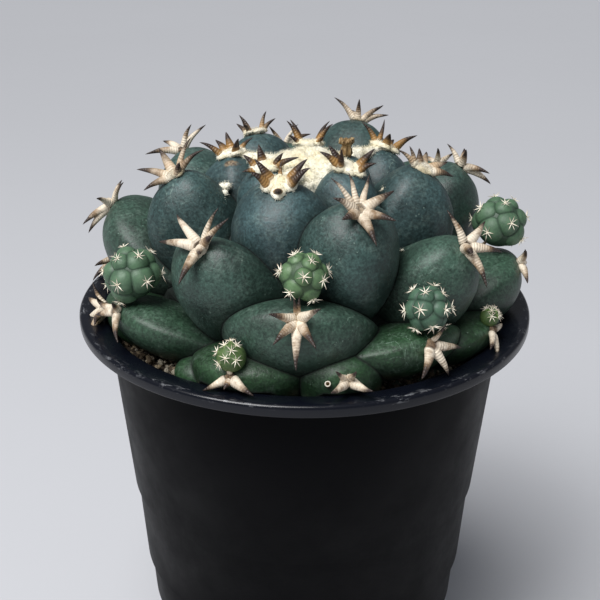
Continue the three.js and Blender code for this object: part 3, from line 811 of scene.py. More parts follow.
def horn_material(settings):
    """Horny spines: cream to grey with fine cross bands and brown tips, or amber when young."""

    def paint(net, where):
        along, age, tint, reach = attributes(net, "along", "age", "tint", "reach")
        streaks = net.noise(where, 500, 4, 0.6)
        wander = net.noise(where, 260, 2)
        bands = net.maths("SINE", (along * reach + wander * 0.0009) * 7600)
        worn = net.mixed(net.ranged(streaks, 0.5, 0.68, 0.0, 0.6), settings.old_horn,
                         srgb(158, 142, 124))
        smudged = along + (streaks - 0.5) * 0.9 + (tint - 0.5) * 0.5
        brown = net.mixed(net.ranged(smudged, 0.25, 0.7, 0.0, 0.85), worn, srgb(136, 104, 66))
        tipped = along + (streaks - 0.5) * 0.35 + (tint - 0.5) * 0.22
        old = net.mixed(net.ranged(tipped, 0.5, 0.78, 0, 0.97, True), brown, srgb(44, 33, 31))
        young_low = net.mixed(net.ranged(along + (streaks - 0.5) * 0.3, 0.0, 0.2), settings.wool,
                              settings.young_horn)
        young = net.mixed(net.ranged(along + (streaks - 0.5) * 0.6 + (tint - 0.5) * 0.3, 0.1, 0.64,
                                     0, 1, True), young_low, settings.tip_horn)
        body = net.mixed(age, young, old)
        banded = net.mixed(net.ranged(bands, 0.1, 1.0, 0.0, 0.08), body, srgb(110, 84, 62))
        foot = net.ranged(along + (streaks - 0.5) * 0.06, 0.0, 0.1, 0.9, 0.0, True) * age
        colour = net.mixed(foot, banded, srgb(66, 48, 36))
        return surface(net, colour, net.ranged(streaks, 0.3, 0.7, 0.36, 0.6),
                       bands * 0.25 + streaks, 0.00022, 0.9)

    return shaded("spine_horn", {"Specular IOR Level": 0.5}, paint)


def felt_material(settings):
    """Felted wool: cream at the crown, beige and grubby on the old areoles."""

    def paint(net, where):
        age = attribute(net, "age")
        tufts = net.noise(where, 700, 6, 0.7)
        clumps = net.noise(where, 170, 3)
        young = net.mixed(net.ranged(clumps, 0.4, 0.7), settings.wool, srgb(238, 226, 188))
        old = net.mixed(net.ranged(tufts, 0.35, 0.65), srgb(158, 134, 106), srgb(92, 70, 54))
        body = net.mixed(age, young, old)
        colour = net.mixed(net.ranged(tufts, 0.25, 0.42, 0.3, 0.0), body, srgb(160, 146, 112))
        return surface(net, colour, net.ranged(tufts, 0.3, 0.7, 0.85, 1.0),
                       tufts + clumps, 0.0006, 0.9)

    return shaded("felt", {"Specular IOR Level": 0.15, "Sheen Weight": 0.3}, paint)


def star_material():
    """The offsets' tiny spines: white with brown at the points of some."""

    def paint(net, where):
        along = attribute(net, "along")
        warm = net.noise(where, 300, 2)
        tips = net.ranged(along + (warm - 0.5), 0.55, 1.0, 0.0, 0.6)
        colour = net.mixed(tips, srgb(238, 230, 212), srgb(170, 132, 96))
        return {"Base Color": colour, "Roughness": net.ranged(warm, 0.3, 0.7, 0.45, 0.6)}

    return shaded("star_spines", {"Specular IOR Level": 0.4}, paint)


def plastic_material(settings):
    """Matt black plastic with fine grain; the rim has a painted blue sheen, dust and scuffs."""

    def paint(net, where):
        axes = net.axes(where)
        height = axes.out("Z")
        around = net.vectors("LENGTH", where * (1, 1, 0))
        grain = net.noise(where, 1500, 4, 0.6)
        cloud = net.noise(where, 60, 5, 0.65)
        turn = net.maths("ARCTAN2", axes.out("X"), 0 - axes.out("Y"))
        drawn_out = net.xyz(turn * (0.35 * RIM_RADIUS), around, height)
        specks = net.noise(drawn_out, 620, 5, 0.75)
        edge_high = net.ranged(height, RIM_HEIGHT - 1.6 * MM, RIM_HEIGHT - 0.3 * MM)
        edge_wide = net.ranged(around, RIM_RADIUS - 3.2 * MM, RIM_RADIUS - 0.9 * MM)
        scuffs = net.ranged(specks, 0.53, 0.62) * net.ranged(cloud, 0.46, 0.62) * edge_high * edge_wide
        film = net.ranged(cloud, 0.42, 0.75, 0.0, 0.005) * net.ranged(specks, 0.3, 0.7)
        # Painted sheen: the upper rim is painted bluer and lighter than the black wall.
        rim = net.ranged(height, RIM_HEIGHT - 6 * MM, RIM_HEIGHT - 3 * MM)
        sheen = net.mixed(rim, settings.plastic, srgb(10, 13, 22))
        dusty = net.mixed(film, sheen, settings.dust)
        colour = net.mixed(scuffs * 0.85, dusty, settings.dust)
        return {
            "Base Color": colour,
            "Roughness": net.ranged(cloud + scuffs * 0.4, 0.35, 0.85, 0.4, 0.6),
            "Coat Weight": net.ranged(height, RIM_HEIGHT - 5 * MM, RIM_HEIGHT - 3 * MM, 0.0, 0.6),
            "Normal": bumped(net, grain * 0.4 + specks * scuffs, 0.00012, 0.5),
        }

    return shaded("black_plastic", {"Specular IOR Level": 0.04, "Coat Roughness": 0.2}, paint)


def grit_material():
    """Mineral grains, each in a tone of its own, over dark crumbs."""

    def paint(net, where):
        tone = attribute(net, "tone")
        grains = net.node("ShaderNodeValToRGB", {"stops": [
            (0.0, srgb(40, 33, 27)), (0.3, srgb(84, 72, 56)), (0.55, srgb(138, 124, 100)),
            (0.8, srgb(96, 92, 88)), (1.0, srgb(190, 180, 158))]}, {"Fac": tone})
        pits = net.noise(where, 1300, 5, 0.7)
        colour = net.mixed(net.ranged(pits, 0.3, 0.6, 0.6, 0.0), grains, srgb(58, 48, 38))
        return surface(net, colour, net.ranged(pits, 0.3, 0.7, 0.8, 1.0),
                       pits, 0.0004, 0.8)

    return shaded("grit", {"Specular IOR Level": 0.25}, paint)


def dry_material():
    """Papery dead tissue: the withered flower and the stub of another."""

    def paint(net, where):
        ribs = net.noise(where * (3, 3, 0.5), 420, 4, 0.6)
        brown = net.node("ShaderNodeValToRGB", {"stops": [
            (0.3, srgb(62, 45, 30)), (0.5, srgb(138, 112, 76)), (0.7, srgb(196, 176, 138))]},
            {"Fac": ribs})
        bleached = attribute(net, "pale")
        colour = net.mixed(bleached, brown, srgb(232, 226, 212))
        return surface(net, colour, net.ranged(ribs, 0.3, 0.7, 0.7, 0.95),
                       ribs, 0.0004, 0.8)

    return shaded("dry_tissue", {"Specular IOR Level": 0.2}, paint)


def floor_material(settings):
    """A pale matt floor with the faintest marks."""

    def paint(net, where):
        cloud = net.noise(where, 3, 4)
        dust = net.noise(where, 60, 5, 0.7)
        colour = net.mixed(net.ranged(cloud + dust * 0.3, 0.4, 0.9, 0.0, 0.06), settings.floor,
                           srgb(170, 170, 172))
        return surface(net, colour, net.ranged(dust, 0.3, 0.7, 0.75, 0.9),
                       dust, 0.0003, 0.2)

    return shaded("pale_floor", {"Specular IOR Level": 0.2}, paint)


# The spiral of tubercles

LAYOUT = "tubercle_layout"


def spiral_net(plant):
    """The rule of the spiral: a golden angle from each tubercle to the next, on a low dome."""
    net = GeometryNet("tubercle_spiral")
    golden = net.given("Golden Angle", "Float", plant.golden_angle)
    front = net.given("Front Azimuth", "Float", plant.front_azimuth)
    widest = net.given("Plant Radius", "Float", plant.plant_radius)
    crown = net.given("Crown Height", "Float", plant.crown_height)
    drop = net.given("Shoulder Drop", "Float", plant.shoulder_drop)
    rim = net.given("Rim Height", "Float", RIM_HEIGHT)
    index = net.named("number")

    def station(stations):
        """A value read off stations of number and millimetres, in metres."""
        most = max(abs(value) for _, value in stations)
        curve = net.node("ShaderNodeFloatCurve", {
            "stations": [(number / TUBERCLES, value / most) for number, value in stations]},
            {"Value": index / TUBERCLES})
        return curve * (most * MM)

    azimuth = front - (index - FRONT_TUBERCLE) * golden + net.named("turn")
    sine = net.maths("SINE", azimuth)
    cosine = net.maths("COSINE", azimuth)
    outward = net.xyz(sine, 0 - cosine, 0.0)
    right = net.xyz(cosine, sine, 0.0)
    opening = net.maths("MINIMUM", math.radians(FIRST_OPENING) + index * math.radians(OPENING_STEP),
                        math.pi / 2)
    past_widest = net.maths("MAXIMUM", index - WIDEST_NUMBER, 0.0)
    radius = widest * net.maths("SINE", opening) - past_widest * (DRAWING_IN * MM) + net.named("out")
    down = drop * net.ranged(index, FALL_FROM, FALL_TO, smooth=True)
    sink = net.maths("MAXIMUM", index - LAST_AREOLE, 0.0) * (SINKING * MM)
    height = rim + crown - down - sink + net.named("up")
    tip = outward * radius + net.xyz(0.0, 0.0, height)
    start_height = rim + station(AXIS_START)
    start = right * net.named("lean") + net.xyz(0.0, 0.0, start_height)
    forward = net.vectors("NORMALIZE", tip - start)
    above = net.vectors("CROSS_PRODUCT", forward, right)
    size = net.xyz(station(HALF_WIDTH) * net.named("wide"),
                   station(HALF_HEIGHT) * net.named("tall"), station(BULGE))
    laid = net.base
    for name, value in (("tip", tip), ("right", right), ("above", above), ("forward", forward),
                        ("size", size)):
        laid = net.stored(laid, name, value, "FLOAT_VECTOR")
    net.give_back(net.node("GeometryNodeSetPosition", None, {
        "Geometry": laid, "Position": net.arrow("tip")}))
    return net


def lay_out(plant):
    """Makes the helper mesh whose points carry every tubercle's place, axes and size."""
    ways = [{**USUAL, **OWN_WAYS.get(i, {})} for i in range(TUBERCLES)]
    known = {
        "number": [float(i) for i in range(TUBERCLES)],
        "turn": [math.radians(way["turn"]) for way in ways],
        "wide": [float(way["wide"]) for way in ways],
        "tall": [float(way["tall"]) for way in ways],
    }
    for key in ("out", "up", "lean"):
        known[key] = [way[key] * MM for way in ways]
    base = seeds(LAYOUT, [(0, 0, 0)] * TUBERCLES, known)
    return grown(LAYOUT, base, spiral_net(plant))


class Tubercle:
    """One tubercle's tip, axes and size, read back from the layout."""

    def __init__(self, number):
        layers = bpy.data.objects[LAYOUT].data.attributes
        for key in ("tip", "right", "above", "forward", "size"):
            setattr(self, key, Vector(layers[key].data[number].vector))

    def at(self, right, above, forward):
        """A point given in millimetres along the tubercle's own axes from its tip."""
        return self.tip + (self.right * right + self.above * above + self.forward * forward) * MM

    def heading(self, clock, rise):
        """The direction at a clock angle, with its rise from the skin, both in degrees."""
        turn, tilt = math.radians(clock), math.radians(rise)
        flat = self.right * math.sin(turn) + self.above * math.cos(turn)
        return (flat * math.cos(tilt) + self.forward * math.sin(tilt)).normalized()


def unit_tubercle(around, along):
    """A tubercle of unit size: its axis is Z, its foot is pointed at the sides, its top flatter."""
    upper, lower, roundness, corner, behind = 0.6, 1.15, 0.85, 0.3, 0.35
    arching, arch_fade, arch_power = 0.85, 1.3, 1.85

    def ring(out, spread):
        foot = 1 - max(0, out)
        sharp = 1 + corner * foot ** 3
        arched = arching * foot ** arch_fade
        points = []
        for i in range(around):
            turn = 2 * math.pi * i / around
            x, y = math.cos(turn), math.sin(turn)
            across = math.copysign(abs(x) ** sharp, x) * spread
            if y > 0:
                tall = upper * (y * (1 - arched) + (1 - abs(x) ** arch_power) * arched)
            else:
                tall = -lower * abs(y) ** sharp
            points.append((across, tall * spread, out))
        return points

    rings = [[(0, 0, -behind)]]
    for tilt in (-60, -30):
        rings.append(ring(behind * math.sin(math.radians(tilt)), math.cos(math.radians(tilt))))
    for step in range(along):
        psi = 0.5 * math.pi * step / along
        rings.append(ring(math.sin(psi) ** roundness, math.cos(psi) ** roundness))
    rings.append([(0, 0, 1)])
    return ringed("unit_tubercle", rings)


def between(stations, steps):
    """The same profile with more stations on it, straight between the given ones."""
    finer = [stations[0]]
    for (low_r, low_z), (high_r, high_z) in zip(stations, stations[1:]):
        for step in range(1, steps + 1):
            part = step / steps
            finer.append((low_r + (high_r - low_r) * part, low_z + (high_z - low_z) * part))
    return finer


def rim_clearance(plant, pot):
    """The pot's upper part and the gap round it, which trim what grows over the rim."""
    gap = plant.skin_rim_gap
    top = RIM_HEIGHT + gap
    inner = WALL_TOP_RADIUS * MM - pot.wall - gap
    reach, taper, margin = 40 * MM, 4.2 * MM, 10 * MM
    flat, slope, edge, face = 2.4 * MM, 1.3 * MM, 66.4 * MM, 4 * MM
    wide = RIM_RADIUS + margin
    profile = [(inner - taper, top - reach), (wide, top - reach), (wide, top),
               (RIM_RADIUS - flat, top), (edge - gap, top - slope), (inner, top - face)]
    return turned("rim_clearance", profile, 160)


def stem_net(helpers, material):
    """Joins the core and every tubercle into one skin, and marks where each part of it grew."""
    net = GeometryNet("stem")
    unit = net.shape("Tubercle", helpers["tubercle"])
    core = net.shape("Core", helpers["core"])
    rim = net.shape("Rim Clearance", helpers["rim"])
    wobble = net.given("Unevenness", "Float", 0.9 * MM)

    placed = net.planted(net.base, unit)
    size = net.axes(net.arrow("size"))
    tip, forward = net.arrow("tip"), net.arrow("forward")
    columns = (
        net.arrow("right") * size.out("X"),
        net.arrow("above") * size.out("Y"),
        forward * size.out("Z"),
        tip - forward * size.out("Z"),
    )
    sockets = {}
    for number, column in enumerate(columns, 1):
        parts = net.axes(column)
        for row, axis in enumerate("XYZ", 1):
            sockets["Column %d Row %d" % (number, row)] = parts.out(axis)
    matrix = net.node("FunctionNodeCombineMatrix", None, sockets)
    shaped = net.node("GeometryNodeSetInstanceTransform", None,
                      {"Instances": placed, "Transform": matrix})
    raw = net.real(shaped)
    whole = net.united([core, shaped])
    trimmed = net.cut(whole, rim)

    def nearest(value, kind, group=None):
        sockets = {"Mesh": raw, "Value": value}
        if group:
            sockets["Group ID"] = number
            sockets["Sample Group ID"] = group
        return net.node("GeometryNodeSampleNearestSurface", {"data_type": kind}, sockets)

    number = net.named("number")
    owner = net.maths("ROUND", nearest(number, "FLOAT"))
    skin = net.stored(trimmed, "grew", owner, "FLOAT", "FACE")
    grew = net.named("grew")
    tip_here = nearest(tip, "FLOAT_VECTOR", grew)
    place = net.place()
    skin = net.stored(skin, "local", place - tip_here, "FLOAT_VECTOR", "CORNER")
    return finish_skin(net, skin, raw, grew, wobble, material, TUBERCLES)


def finish_skin(net, skin, knobs, grew, wobble, material, count):
    """Finds the creases between knobs, roughs the surface up a little, and ends the tree. What is
    not on a knob lies deep between them and counts as crease, which the skins paint in shade."""
    creased = net.node("GeometryNodeInputMeshEdgeAngle") > math.radians(CREASE_ANGLE)
    lines = net.node("GeometryNodeSeparateGeometry", {"domain": "EDGE"},
                     {"Geometry": skin, "Selection": creased})
    near = net.node("GeometryNodeProximity", {"target_element": "EDGES"}, {"Geometry": lines})
    off_knob = net.node("GeometryNodeProximity", {"target_element": "FACES"}, {"Geometry": knobs})
    on_knob = off_knob.out("Distance") < 0.1 * MM
    skin = net.stored(skin, "crease", near.out("Distance") * on_knob, "FLOAT", "POINT")
    skin = net.stored(skin, "age", grew / count, "FLOAT", "FACE")
    shade = net.chance(0.0, 1.0, 3, "FLOAT", grew)
    skin = net.stored(skin, "tint", shade, "FLOAT", "FACE")
    calm = net.ranged(near.out("Distance"), 0.0, 3 * MM)
    skin = net.roughened(skin, wobble * calm, 75.0, 2.0)
    skin = net.sharpened(net.smoothed(skin), creased)
    net.give_back(net.finished(skin, material))
    return net


def helper(mesh):
    """A helper object that a tree reads, out of the render. It is removed at the end."""
    piece = link("helper_" + mesh.name, mesh)
    piece.hide_render = True
    piece.hide_set(True)
    return piece


def clear_helpers():
    """Takes away the helpers and the layout, once every piece has grown."""
    for piece in list(bpy.data.objects):
        if piece.name.startswith("helper_") or piece.name == LAYOUT:
            bpy.data.objects.remove(piece)


class CACTUS_OT_layout(bpy.types.Operator):
    """Lays out the spiral of tubercles that every piece of the plant follows."""

    bl_idname = "cactus.layout"
    bl_label = "Lay out the spiral"

    def execute(self, context):
        layout = lay_out(context.scene.cactus.plant)
        layout.hide_render = True
        return {"FINISHED"}


class CACTUS_OT_stem(bpy.types.Operator):
    """Grows the stem: its core and all its tubercles as one skin."""

    bl_idname = "cactus.stem"
    bl_label = "Stem"

    def execute(self, context):
        settings = context.scene.cactus
        profile = [(r * MM, RIM_HEIGHT + z * MM) for r, z in between(CORE, 6)]
        core = in_triangles(turned("core", profile, 96))
        helpers = {
            "tubercle": helper(in_triangles(unit_tubercle(64, 38))),
            "core": helper(core),
            "rim": helper(rim_clearance(settings.plant, settings.pot)),
        }
        net = stem_net(helpers, skin_material(settings.plant))
        base = bpy.data.objects[LAYOUT].data.copy()
        finish(grown("cactus_stem", base, net), "stem", "stem")
        return {"FINISHED"}


# Areoles and spines


def unit_spine(sides, steps):
    """A straight spine of unit length and girth up Z: a rounded heel, a full belly, a sharp point."""
    belly, fullness, leanness = 0.14, 0.72, 0.1
    profile = [(0.0, 0.0), (0.0, 0.55), (0.02, 0.82), (0.06, 0.97), (belly, 1.0)]
    for step in range(1, steps):
        part = step / steps
        girth = (1 - part) ** fullness * (1 - leanness * part)
        profile.append((belly + (1 - belly) * part, girth))
    profile.append((1.0, 0.0))
    mesh = ringed("unit_spine", [circle(radius, height, sides) for height, radius in profile])
    carry(mesh, "along", [vertex.co.z for vertex in mesh.vertices])
    return mesh


def unit_pad(sides, steps):
    """A cushion of unit size on the XY plane, drawn out to a point downwards."""
    under, squareness, drawn_in, bluntness = 0.4, 0.8, 0.35, 1.5
    rings = [[(0, 0, -under)]]
    for step in range(1, 2 * steps):
        tilt = math.pi * (step / (2 * steps) - 0.5)
        ring = []
        for x, y, z in circle(math.cos(tilt) ** squareness, math.sin(tilt), sides):
            taper = 1 - drawn_in * max(0, -y) ** bluntness
            ring.append((x * taper, y, z if z > 0 else under * z))
        rings.append(ring)
    rings.append([(0, 0, 1)])
    return ringed("unit_pad", rings)


def unit_hair(steps):
    """A three sided hair of unit length that bows over, up Z."""
    bend, thinning, root = 0.35, 0.6, 0.02
    rings = [[(0, 0, -root)]]
    for step in range(steps):
        part = step / steps
        shaft = circle(1 - thinning * part, 0, 3)
        rings.append([(x + bend * part * part, y, part) for x, y, _ in shaft])
    rings.append([(bend, 0, 1)])
    return ringed("unit_hair", rings)


def areole_net(helpers, settings, horn, felt):
    """Stands a set of spines on a felt pad. The base points say where each one aims."""
    net = GeometryNet("areole")
    spine = net.shape("Spine", helpers["spine"])
    pad = net.shape("Pad", helpers["pad"])
    hair = net.shape("Hair", helpers["hair"])
    bow = net.given("Bow", "Float", settings.bow)
    hairs = net.given("Hairs per Square Metre", "Float", 0.0)
    hair_length = net.given("Hair Length", "Float", 0.9 * MM)
    is_pad = net.named("is_pad") > 0.5
    aim = net.arrow("aim")
    side = net.arrow("side")
    turn = net.node("FunctionNodeAxesToRotation", {"primary_axis": "Z", "secondary_axis": "X"},
                    {"Primary Axis": aim, "Secondary Axis": side})
    scale = net.arrow("scale")

    stood = net.planted(net.base, spine, selection=1 - is_pad, rotation=turn, scale=scale)
    spines = net.real(stood)
    along = net.named("along")
    arch = along * (1 - along) * 4 * bow * net.named("reach")
    droop = along * along * 0.5 * bow * net.named("reach")
    crook = net.noise(net.place(), 140.0, 1.0)
    lift = net.arrow("lift")
    spines = net.moved(spines, lift * (arch - droop) + (crook.out("Color") - 0.5) * (along * 1.4 * MM))
    spines = net.finished(spines, horn)

    laid = net.planted(net.base, pad, selection=is_pad, rotation=turn, scale=scale)
    cushion = net.roughened(net.real(laid), 1.1 * MM, 500.0, 4.0)
    fluff = haired(net, cushion, hair, hairs, hair_length)
    felted = net.finished(net.joined(cushion, fluff), felt)
    net.give_back(net.smoothed(net.joined(spines, felted)))
    return net


def oldness(number):
    """How old a tubercle's spines are: 0 at the crown, 1 once they have paled."""
    return min(1.0, max(0.0, (number - 8) / 6))


def areole_seeds(number, girth):
    """The base points of one areole: its pad first, then one for each spine."""
    own = Tubercle(number)
    age = oldness(number)
    chance = random.Random(number)
    fresh = 1 - age
    wide, tall, thick = 1.3 + 1.7 * fresh, 2.0 + 2.2 * fresh, 0.8 + 1.0 * fresh
    pad = Vector((wide, tall, thick)) * MM
    rows = [(own.at(0, 1.2 * fresh, 0), own.forward, own.right, pad, own.forward, 0.0, 1.0)]
    for clock, rise, length, stout in SPINES.get(number, SPINE_SET):
        wide = girth * stout * chance.uniform(0.95, 1.05)
        flat = wide * (0.72 + 0.18 * age)
        out = own.heading(clock, 0)
        step = (0.9 + 2.2 * fresh) * MM * (1.0 if stout > SLIM else 1.5)
        root = own.tip + out * min(step, 0.45 * length * MM) + own.forward * (0.3 * MM)
        reach = own.tip + own.heading(clock, rise) * (length * MM) - root
        aim = reach.normalized()
        side = aim.cross(own.forward).normalized()
        lift = side.cross(aim)
        if lift.dot(own.forward) < 0:
            lift.negate()
        rows.append((root, aim, side, Vector((wide, flat, reach.length)), lift, reach.length, 0.0))
        collar = (0.85 + 0.45 * fresh) * wide
        rows.append((root, own.forward, own.right, Vector((collar, collar, (0.9 + 0.7 * fresh) * MM)),
                     own.forward, 0.0, 1.0))
    position, aim, side, scale, lift, reach, is_pad = zip(*rows)
    return seeds("areole", position, {
        "aim": aim, "side": side, "scale": scale, "lift": lift, "reach": reach, "is_pad": is_pad,
        "age": [age] * len(rows), "tint": [chance.random() for _ in rows]})


class CACTUS_OT_areoles(bpy.types.Operator):
    """Stands the spines on their felt pads, one piece for each tubercle."""

    bl_idname = "cactus.areoles"
    bl_label = "Areoles and spines"

    def execute(self, context):
        settings = context.scene.cactus.spines
        helpers = {"spine": helper(unit_spine(12, 12)), "pad": helper(unit_pad(24, 6)),
                   "hair": helper(unit_hair(2))}
        net = areole_net(helpers, settings, horn_material(settings), felt_material(settings))
        for number in range(FIRST_AREOLE, LAST_AREOLE + 1):
            net.give("Hairs per Square Metre", 2.5e6 * (1 - 0.75 * oldness(number)))
            base = areole_seeds(number, settings.girth)
            piece = grown("areole_%02d" % number, base, net)
            finish(piece, "spines", "spines_%02d" % number)
        return {"FINISHED"}


# Offsets


def unit_star():
    """A star of fine spines, unit long, lying round Z, with short ones standing in the middle."""
    chance = random.Random(11)
    points, faces, along = [], [], []
    lying, standing = 7, 2
    for i in range(lying + standing):
        turn = 2 * math.pi * (i + chance.uniform(-0.2, 0.2)) / lying
        rise = math.radians(chance.uniform(8, 24) if i < lying else 65)
        length = chance.uniform(0.8, 1.05) if i < lying else 0.5
        aim = Vector((math.cos(turn) * math.cos(rise), math.sin(turn) * math.cos(rise), math.sin(rise)))
        side = aim.orthogonal().normalized()
        other = aim.cross(side)
        start = len(points)
        for part, girth in ((0.0, 0.06), (0.5, 0.055)):
            for k in range(3):
                angle = 2 * math.pi * k / 3
                point = aim * length * part + (side * math.cos(angle) + other * math.sin(angle)) * girth
                points.append(point)
                along.append(part)
        points.append(aim * length)
        along.append(1.0)
        faces.append((start + 2, start + 1, start))
        for k in range(3):
            j = (k + 1) % 3
            faces.append((start + k, start + j, start + 3 + j, start + 3 + k))
            faces.append((start + 3 + k, start + 3 + j, start + 6))
    mesh = bpy.data.meshes.new("unit_star")
    mesh.from_pydata([tuple(p) for p in points], [], faces)
    carry(mesh, "along", along)
    return mesh


def pup_net(helpers, skin, stars):
    """An offset: knobs joined on a ball, with a star of spines on each."""
    net = GeometryNet("offset")
    knob = net.shape("Knob", helpers["knob"])
    star = net.shape("Star", helpers["star"])
    body = net.shape("Body", helpers["body"])
    centre = net.given("Centre", "Vector", (0.0, 0.0, 0.0))
    radius = net.given("Radius", "Float", 7 * MM)
    grown_up = net.given("Grown", "Float", 1.0)
    bud_core, core_lost = 0.97, 0.17
    core = radius * (bud_core - core_lost * grown_up)
    star_size = net.given("Star Size", "Float", 2.9 * MM)
    number = net.named("number")
    out = net.arrow("out")
    turn = net.node("FunctionNodeAlignRotationToVector", {"axis": "Z"}, {"Vector": out})
    knobs = net.planted(net.base, knob, rotation=turn, scale=net.named("size") * radius)
    ball = net.node("GeometryNodeTransform", None, {
        "Geometry": body, "Translation": centre,
        "Scale": net.xyz(core, core, core)})
    raw = net.real(knobs)
    whole = net.united([ball, knobs])
    grew = net.node("GeometryNodeSampleNearestSurface", {"data_type": "FLOAT"},
                    {"Mesh": raw, "Value": number})
    skinned = net.stored(whole, "grew", net.maths("ROUND", grew), "FLOAT", "FACE")
    skinned = net.stored(skinned, "grown", grown_up, "FLOAT", "POINT")
    finish_skin(net, skinned, raw, net.named("grew"), 0.2 * MM, skin, MOST_KNOBS)
    green = Wire(net, net.exit.inputs["Geometry"].links[0].from_socket)

    spin = net.chance(0.0, 2 * math.pi, 4)
    faced = net.node("FunctionNodeRotateRotation", {"rotation_space": "LOCAL"}, {
        "Rotation": turn, "Rotate By": net.turn_by(net.xyz(0.0, 0.0, spin))})
    tips = net.moved(net.base, out * (net.named("size") * radius))
    scale = star_size * net.ranged(net.named("size"), 0.3, 0.54, 0.7, 1.0)
    starred = net.planted(tips, star, rotation=faced, scale=scale)
    net.give_back(net.joined(green, net.finished(starred, stars)))
    return net


def pup_seeds(pup):
    """The knobs of one offset, in a golden spiral from its own crown down."""
    own = Tubercle(pup["on"])
    centre = own.at(pup["right"], pup["above"], pup["forward"])
    axis = (Vector((0, 0, 1)) * 0.75 + own.forward * 0.65).normalized()
    basis = axis.to_track_quat("Z", "Y").to_matrix()
    fewest, more = 7, 6
    count = fewest + round(more * pup["grown"])
    crown, covered, grown_over = 12, 50, 68
    bud_knob, knob_growth, quickness = 0.34, 0.2, 2.2
    radius = pup["radius"] * MM
    rows = []
    for i in range(count):
        part = (i + 0.5) / count
        polar = math.radians(crown + (covered + grown_over * pup["grown"]) * part ** 0.85)
        turn = math.radians(GOLDEN_ANGLE * i)
        out = basis @ Vector((math.sin(polar) * math.cos(turn), math.sin(polar) * math.sin(turn),
                              math.cos(polar)))
        size = bud_knob + knob_growth * pup["grown"] * min(1.0, part * quickness)
        rows.append((centre + out * radius * (1.0 - size), out, size, float(i)))
    position, out, size, number = zip(*rows)
    return centre, seeds("pup", position, {"out": out, "size": size, "number": number})


def ball(name, sides, steps):
    """A ball of unit radius."""
    return turned(name, [(math.sin(math.pi * i / steps) if 0 < i < steps else 0.0,
                          -math.cos(math.pi * i / steps)) for i in range(steps + 1)], sides)


class CACTUS_OT_offsets(bpy.types.Operator):
    """Grows the offsets, each a ball of knobs with stars of fine spines."""

    bl_idname = "cactus.offsets"
    bl_label = "Offsets"

    def execute(self, context):
        settings = context.scene.cactus.plant
        helpers = {"knob": helper(ball("unit_knob", 24, 16)), "star": helper(unit_star()),
                   "body": helper(ball("unit_body", 32, 20))}
        net = pup_net(helpers, pup_material(settings), star_material())
        for name, pup in PUPS.items():
            centre, base = pup_seeds(pup)
            net.give("Centre", tuple(centre))
            net.give("Radius", pup["radius"] * MM)
            net.give("Grown", pup["grown"])
            finish(grown("offset_" + name[4:], base, net), "pups", name)
        return {"FINISHED"}


# Crown wool


def wool_net(helpers, felt):
    """Swells a cloud of points into one woolly mound, roughs it up and stands short hairs on it."""
    net = GeometryNet("crown_wool")
    hair = net.shape("Hair", helpers["hair"])
    voxel = net.given("Fineness", "Float", 0.55 * MM)
    depth = net.given("Tuft Depth", "Float", 3.2 * MM)
    hairs = net.given("Hairs per Square Metre", "Float", 2.6e6)
    hair_length = net.given("Hair Length", "Float", 1.3 * MM)
    cloud = net.node("GeometryNodePointsToVolume", {"resolution_mode": "VOXEL_SIZE"}, {
        "Points": net.base, "Voxel Size": voxel, "Radius": net.named("size")})
    mound = net.node("GeometryNodeVolumeToMesh", {"resolution_mode": "VOXEL_SIZE"}, {
        "Volume": cloud, "Voxel Size": voxel, "Threshold": 0.1})
    mound = net.stored(net.roughened(mound, depth, 210.0, 5.0, 0.65), "age", 0.0)
    fluff = haired(net, mound, hair, hairs, hair_length)
    net.give_back(net.finished(net.smoothed(net.joined(mound, fluff)), felt))
    return net


def haired(net, surface, hair, density, length):
    """Short hairs that stand on a surface, each leaning its own way."""
    spots = net.node("GeometryNodeDistributePointsOnFaces", None,
                     {"Mesh": surface, "Density": density, "Seed": 5})
    lean = net.chance((-0.9, -0.9, 0.0), (0.9, 0.9, 2 * math.pi), 2, "FLOAT_VECTOR")
    facing = net.node("FunctionNodeRotateRotation", {"rotation_space": "LOCAL"}, {
        "Rotation": spots.out("Rotation"),
        "Rotate By": net.turn_by(lean)})
    return net.planted(spots, hair, rotation=facing,
                       scale=net.xyz(HAIR_WIDTH * MM, HAIR_WIDTH * MM, length))


def wool_seeds():
    """A cloud of points: a low mound in the crown, with ridges that run out to the young areoles."""
    low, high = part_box("crown_wool")
    middle = (Vector(low) + Vector(high)) / 2 - Vector((0, 0, 1.5 * MM))
    chance = random.Random(4)
    places, sizes = [], []
    count, spread, fall, lifted, rough = 140, 13.5 * MM, 5.5 * MM, 4.6 * MM, 0.8
    for i in range(count):
        reach = spread * math.sqrt((i + 0.5) / count)
        turn = math.radians(GOLDEN_ANGLE * i)
        drop = fall * (reach / spread) ** 2
        places.append(middle + Vector((reach * math.cos(turn), reach * math.sin(turn),
                                       lifted - drop + chance.uniform(-rough, rough) * MM)))
        sizes.append(chance.uniform(2.8, 3.9) * MM)
    arch, sunk = 4.5, 0.4
    half_width, narrowing = 3.6, 2.6
    swell, thinning, edge_loss = 3.3, 1.7, 0.25
    for number in range(2, OLDEST_IN_WOOL + 1):
        goal = Tubercle(number).at(0, 4, -1.2)
        across = Vector((0, 0, 1)).cross(goal - middle).normalized()
        for _ in range(RIDGE_TUFTS):
            part = chance.random() ** 0.8
            side = chance.uniform(-1, 1)
            lift = arch * part * (1 - part) - sunk + chance.uniform(-sunk, sunk)
            sway = side * (half_width - narrowing * part)
            wide = (swell - thinning * part) * (1 - edge_loss * abs(side))
            places.append(middle.lerp(goal, part) + across * (sway * MM) + Vector((0, 0, lift * MM)))
            sizes.append(wide * chance.uniform(0.85, 1.05) * MM)
    return seeds("wool", places, {"size": sizes})


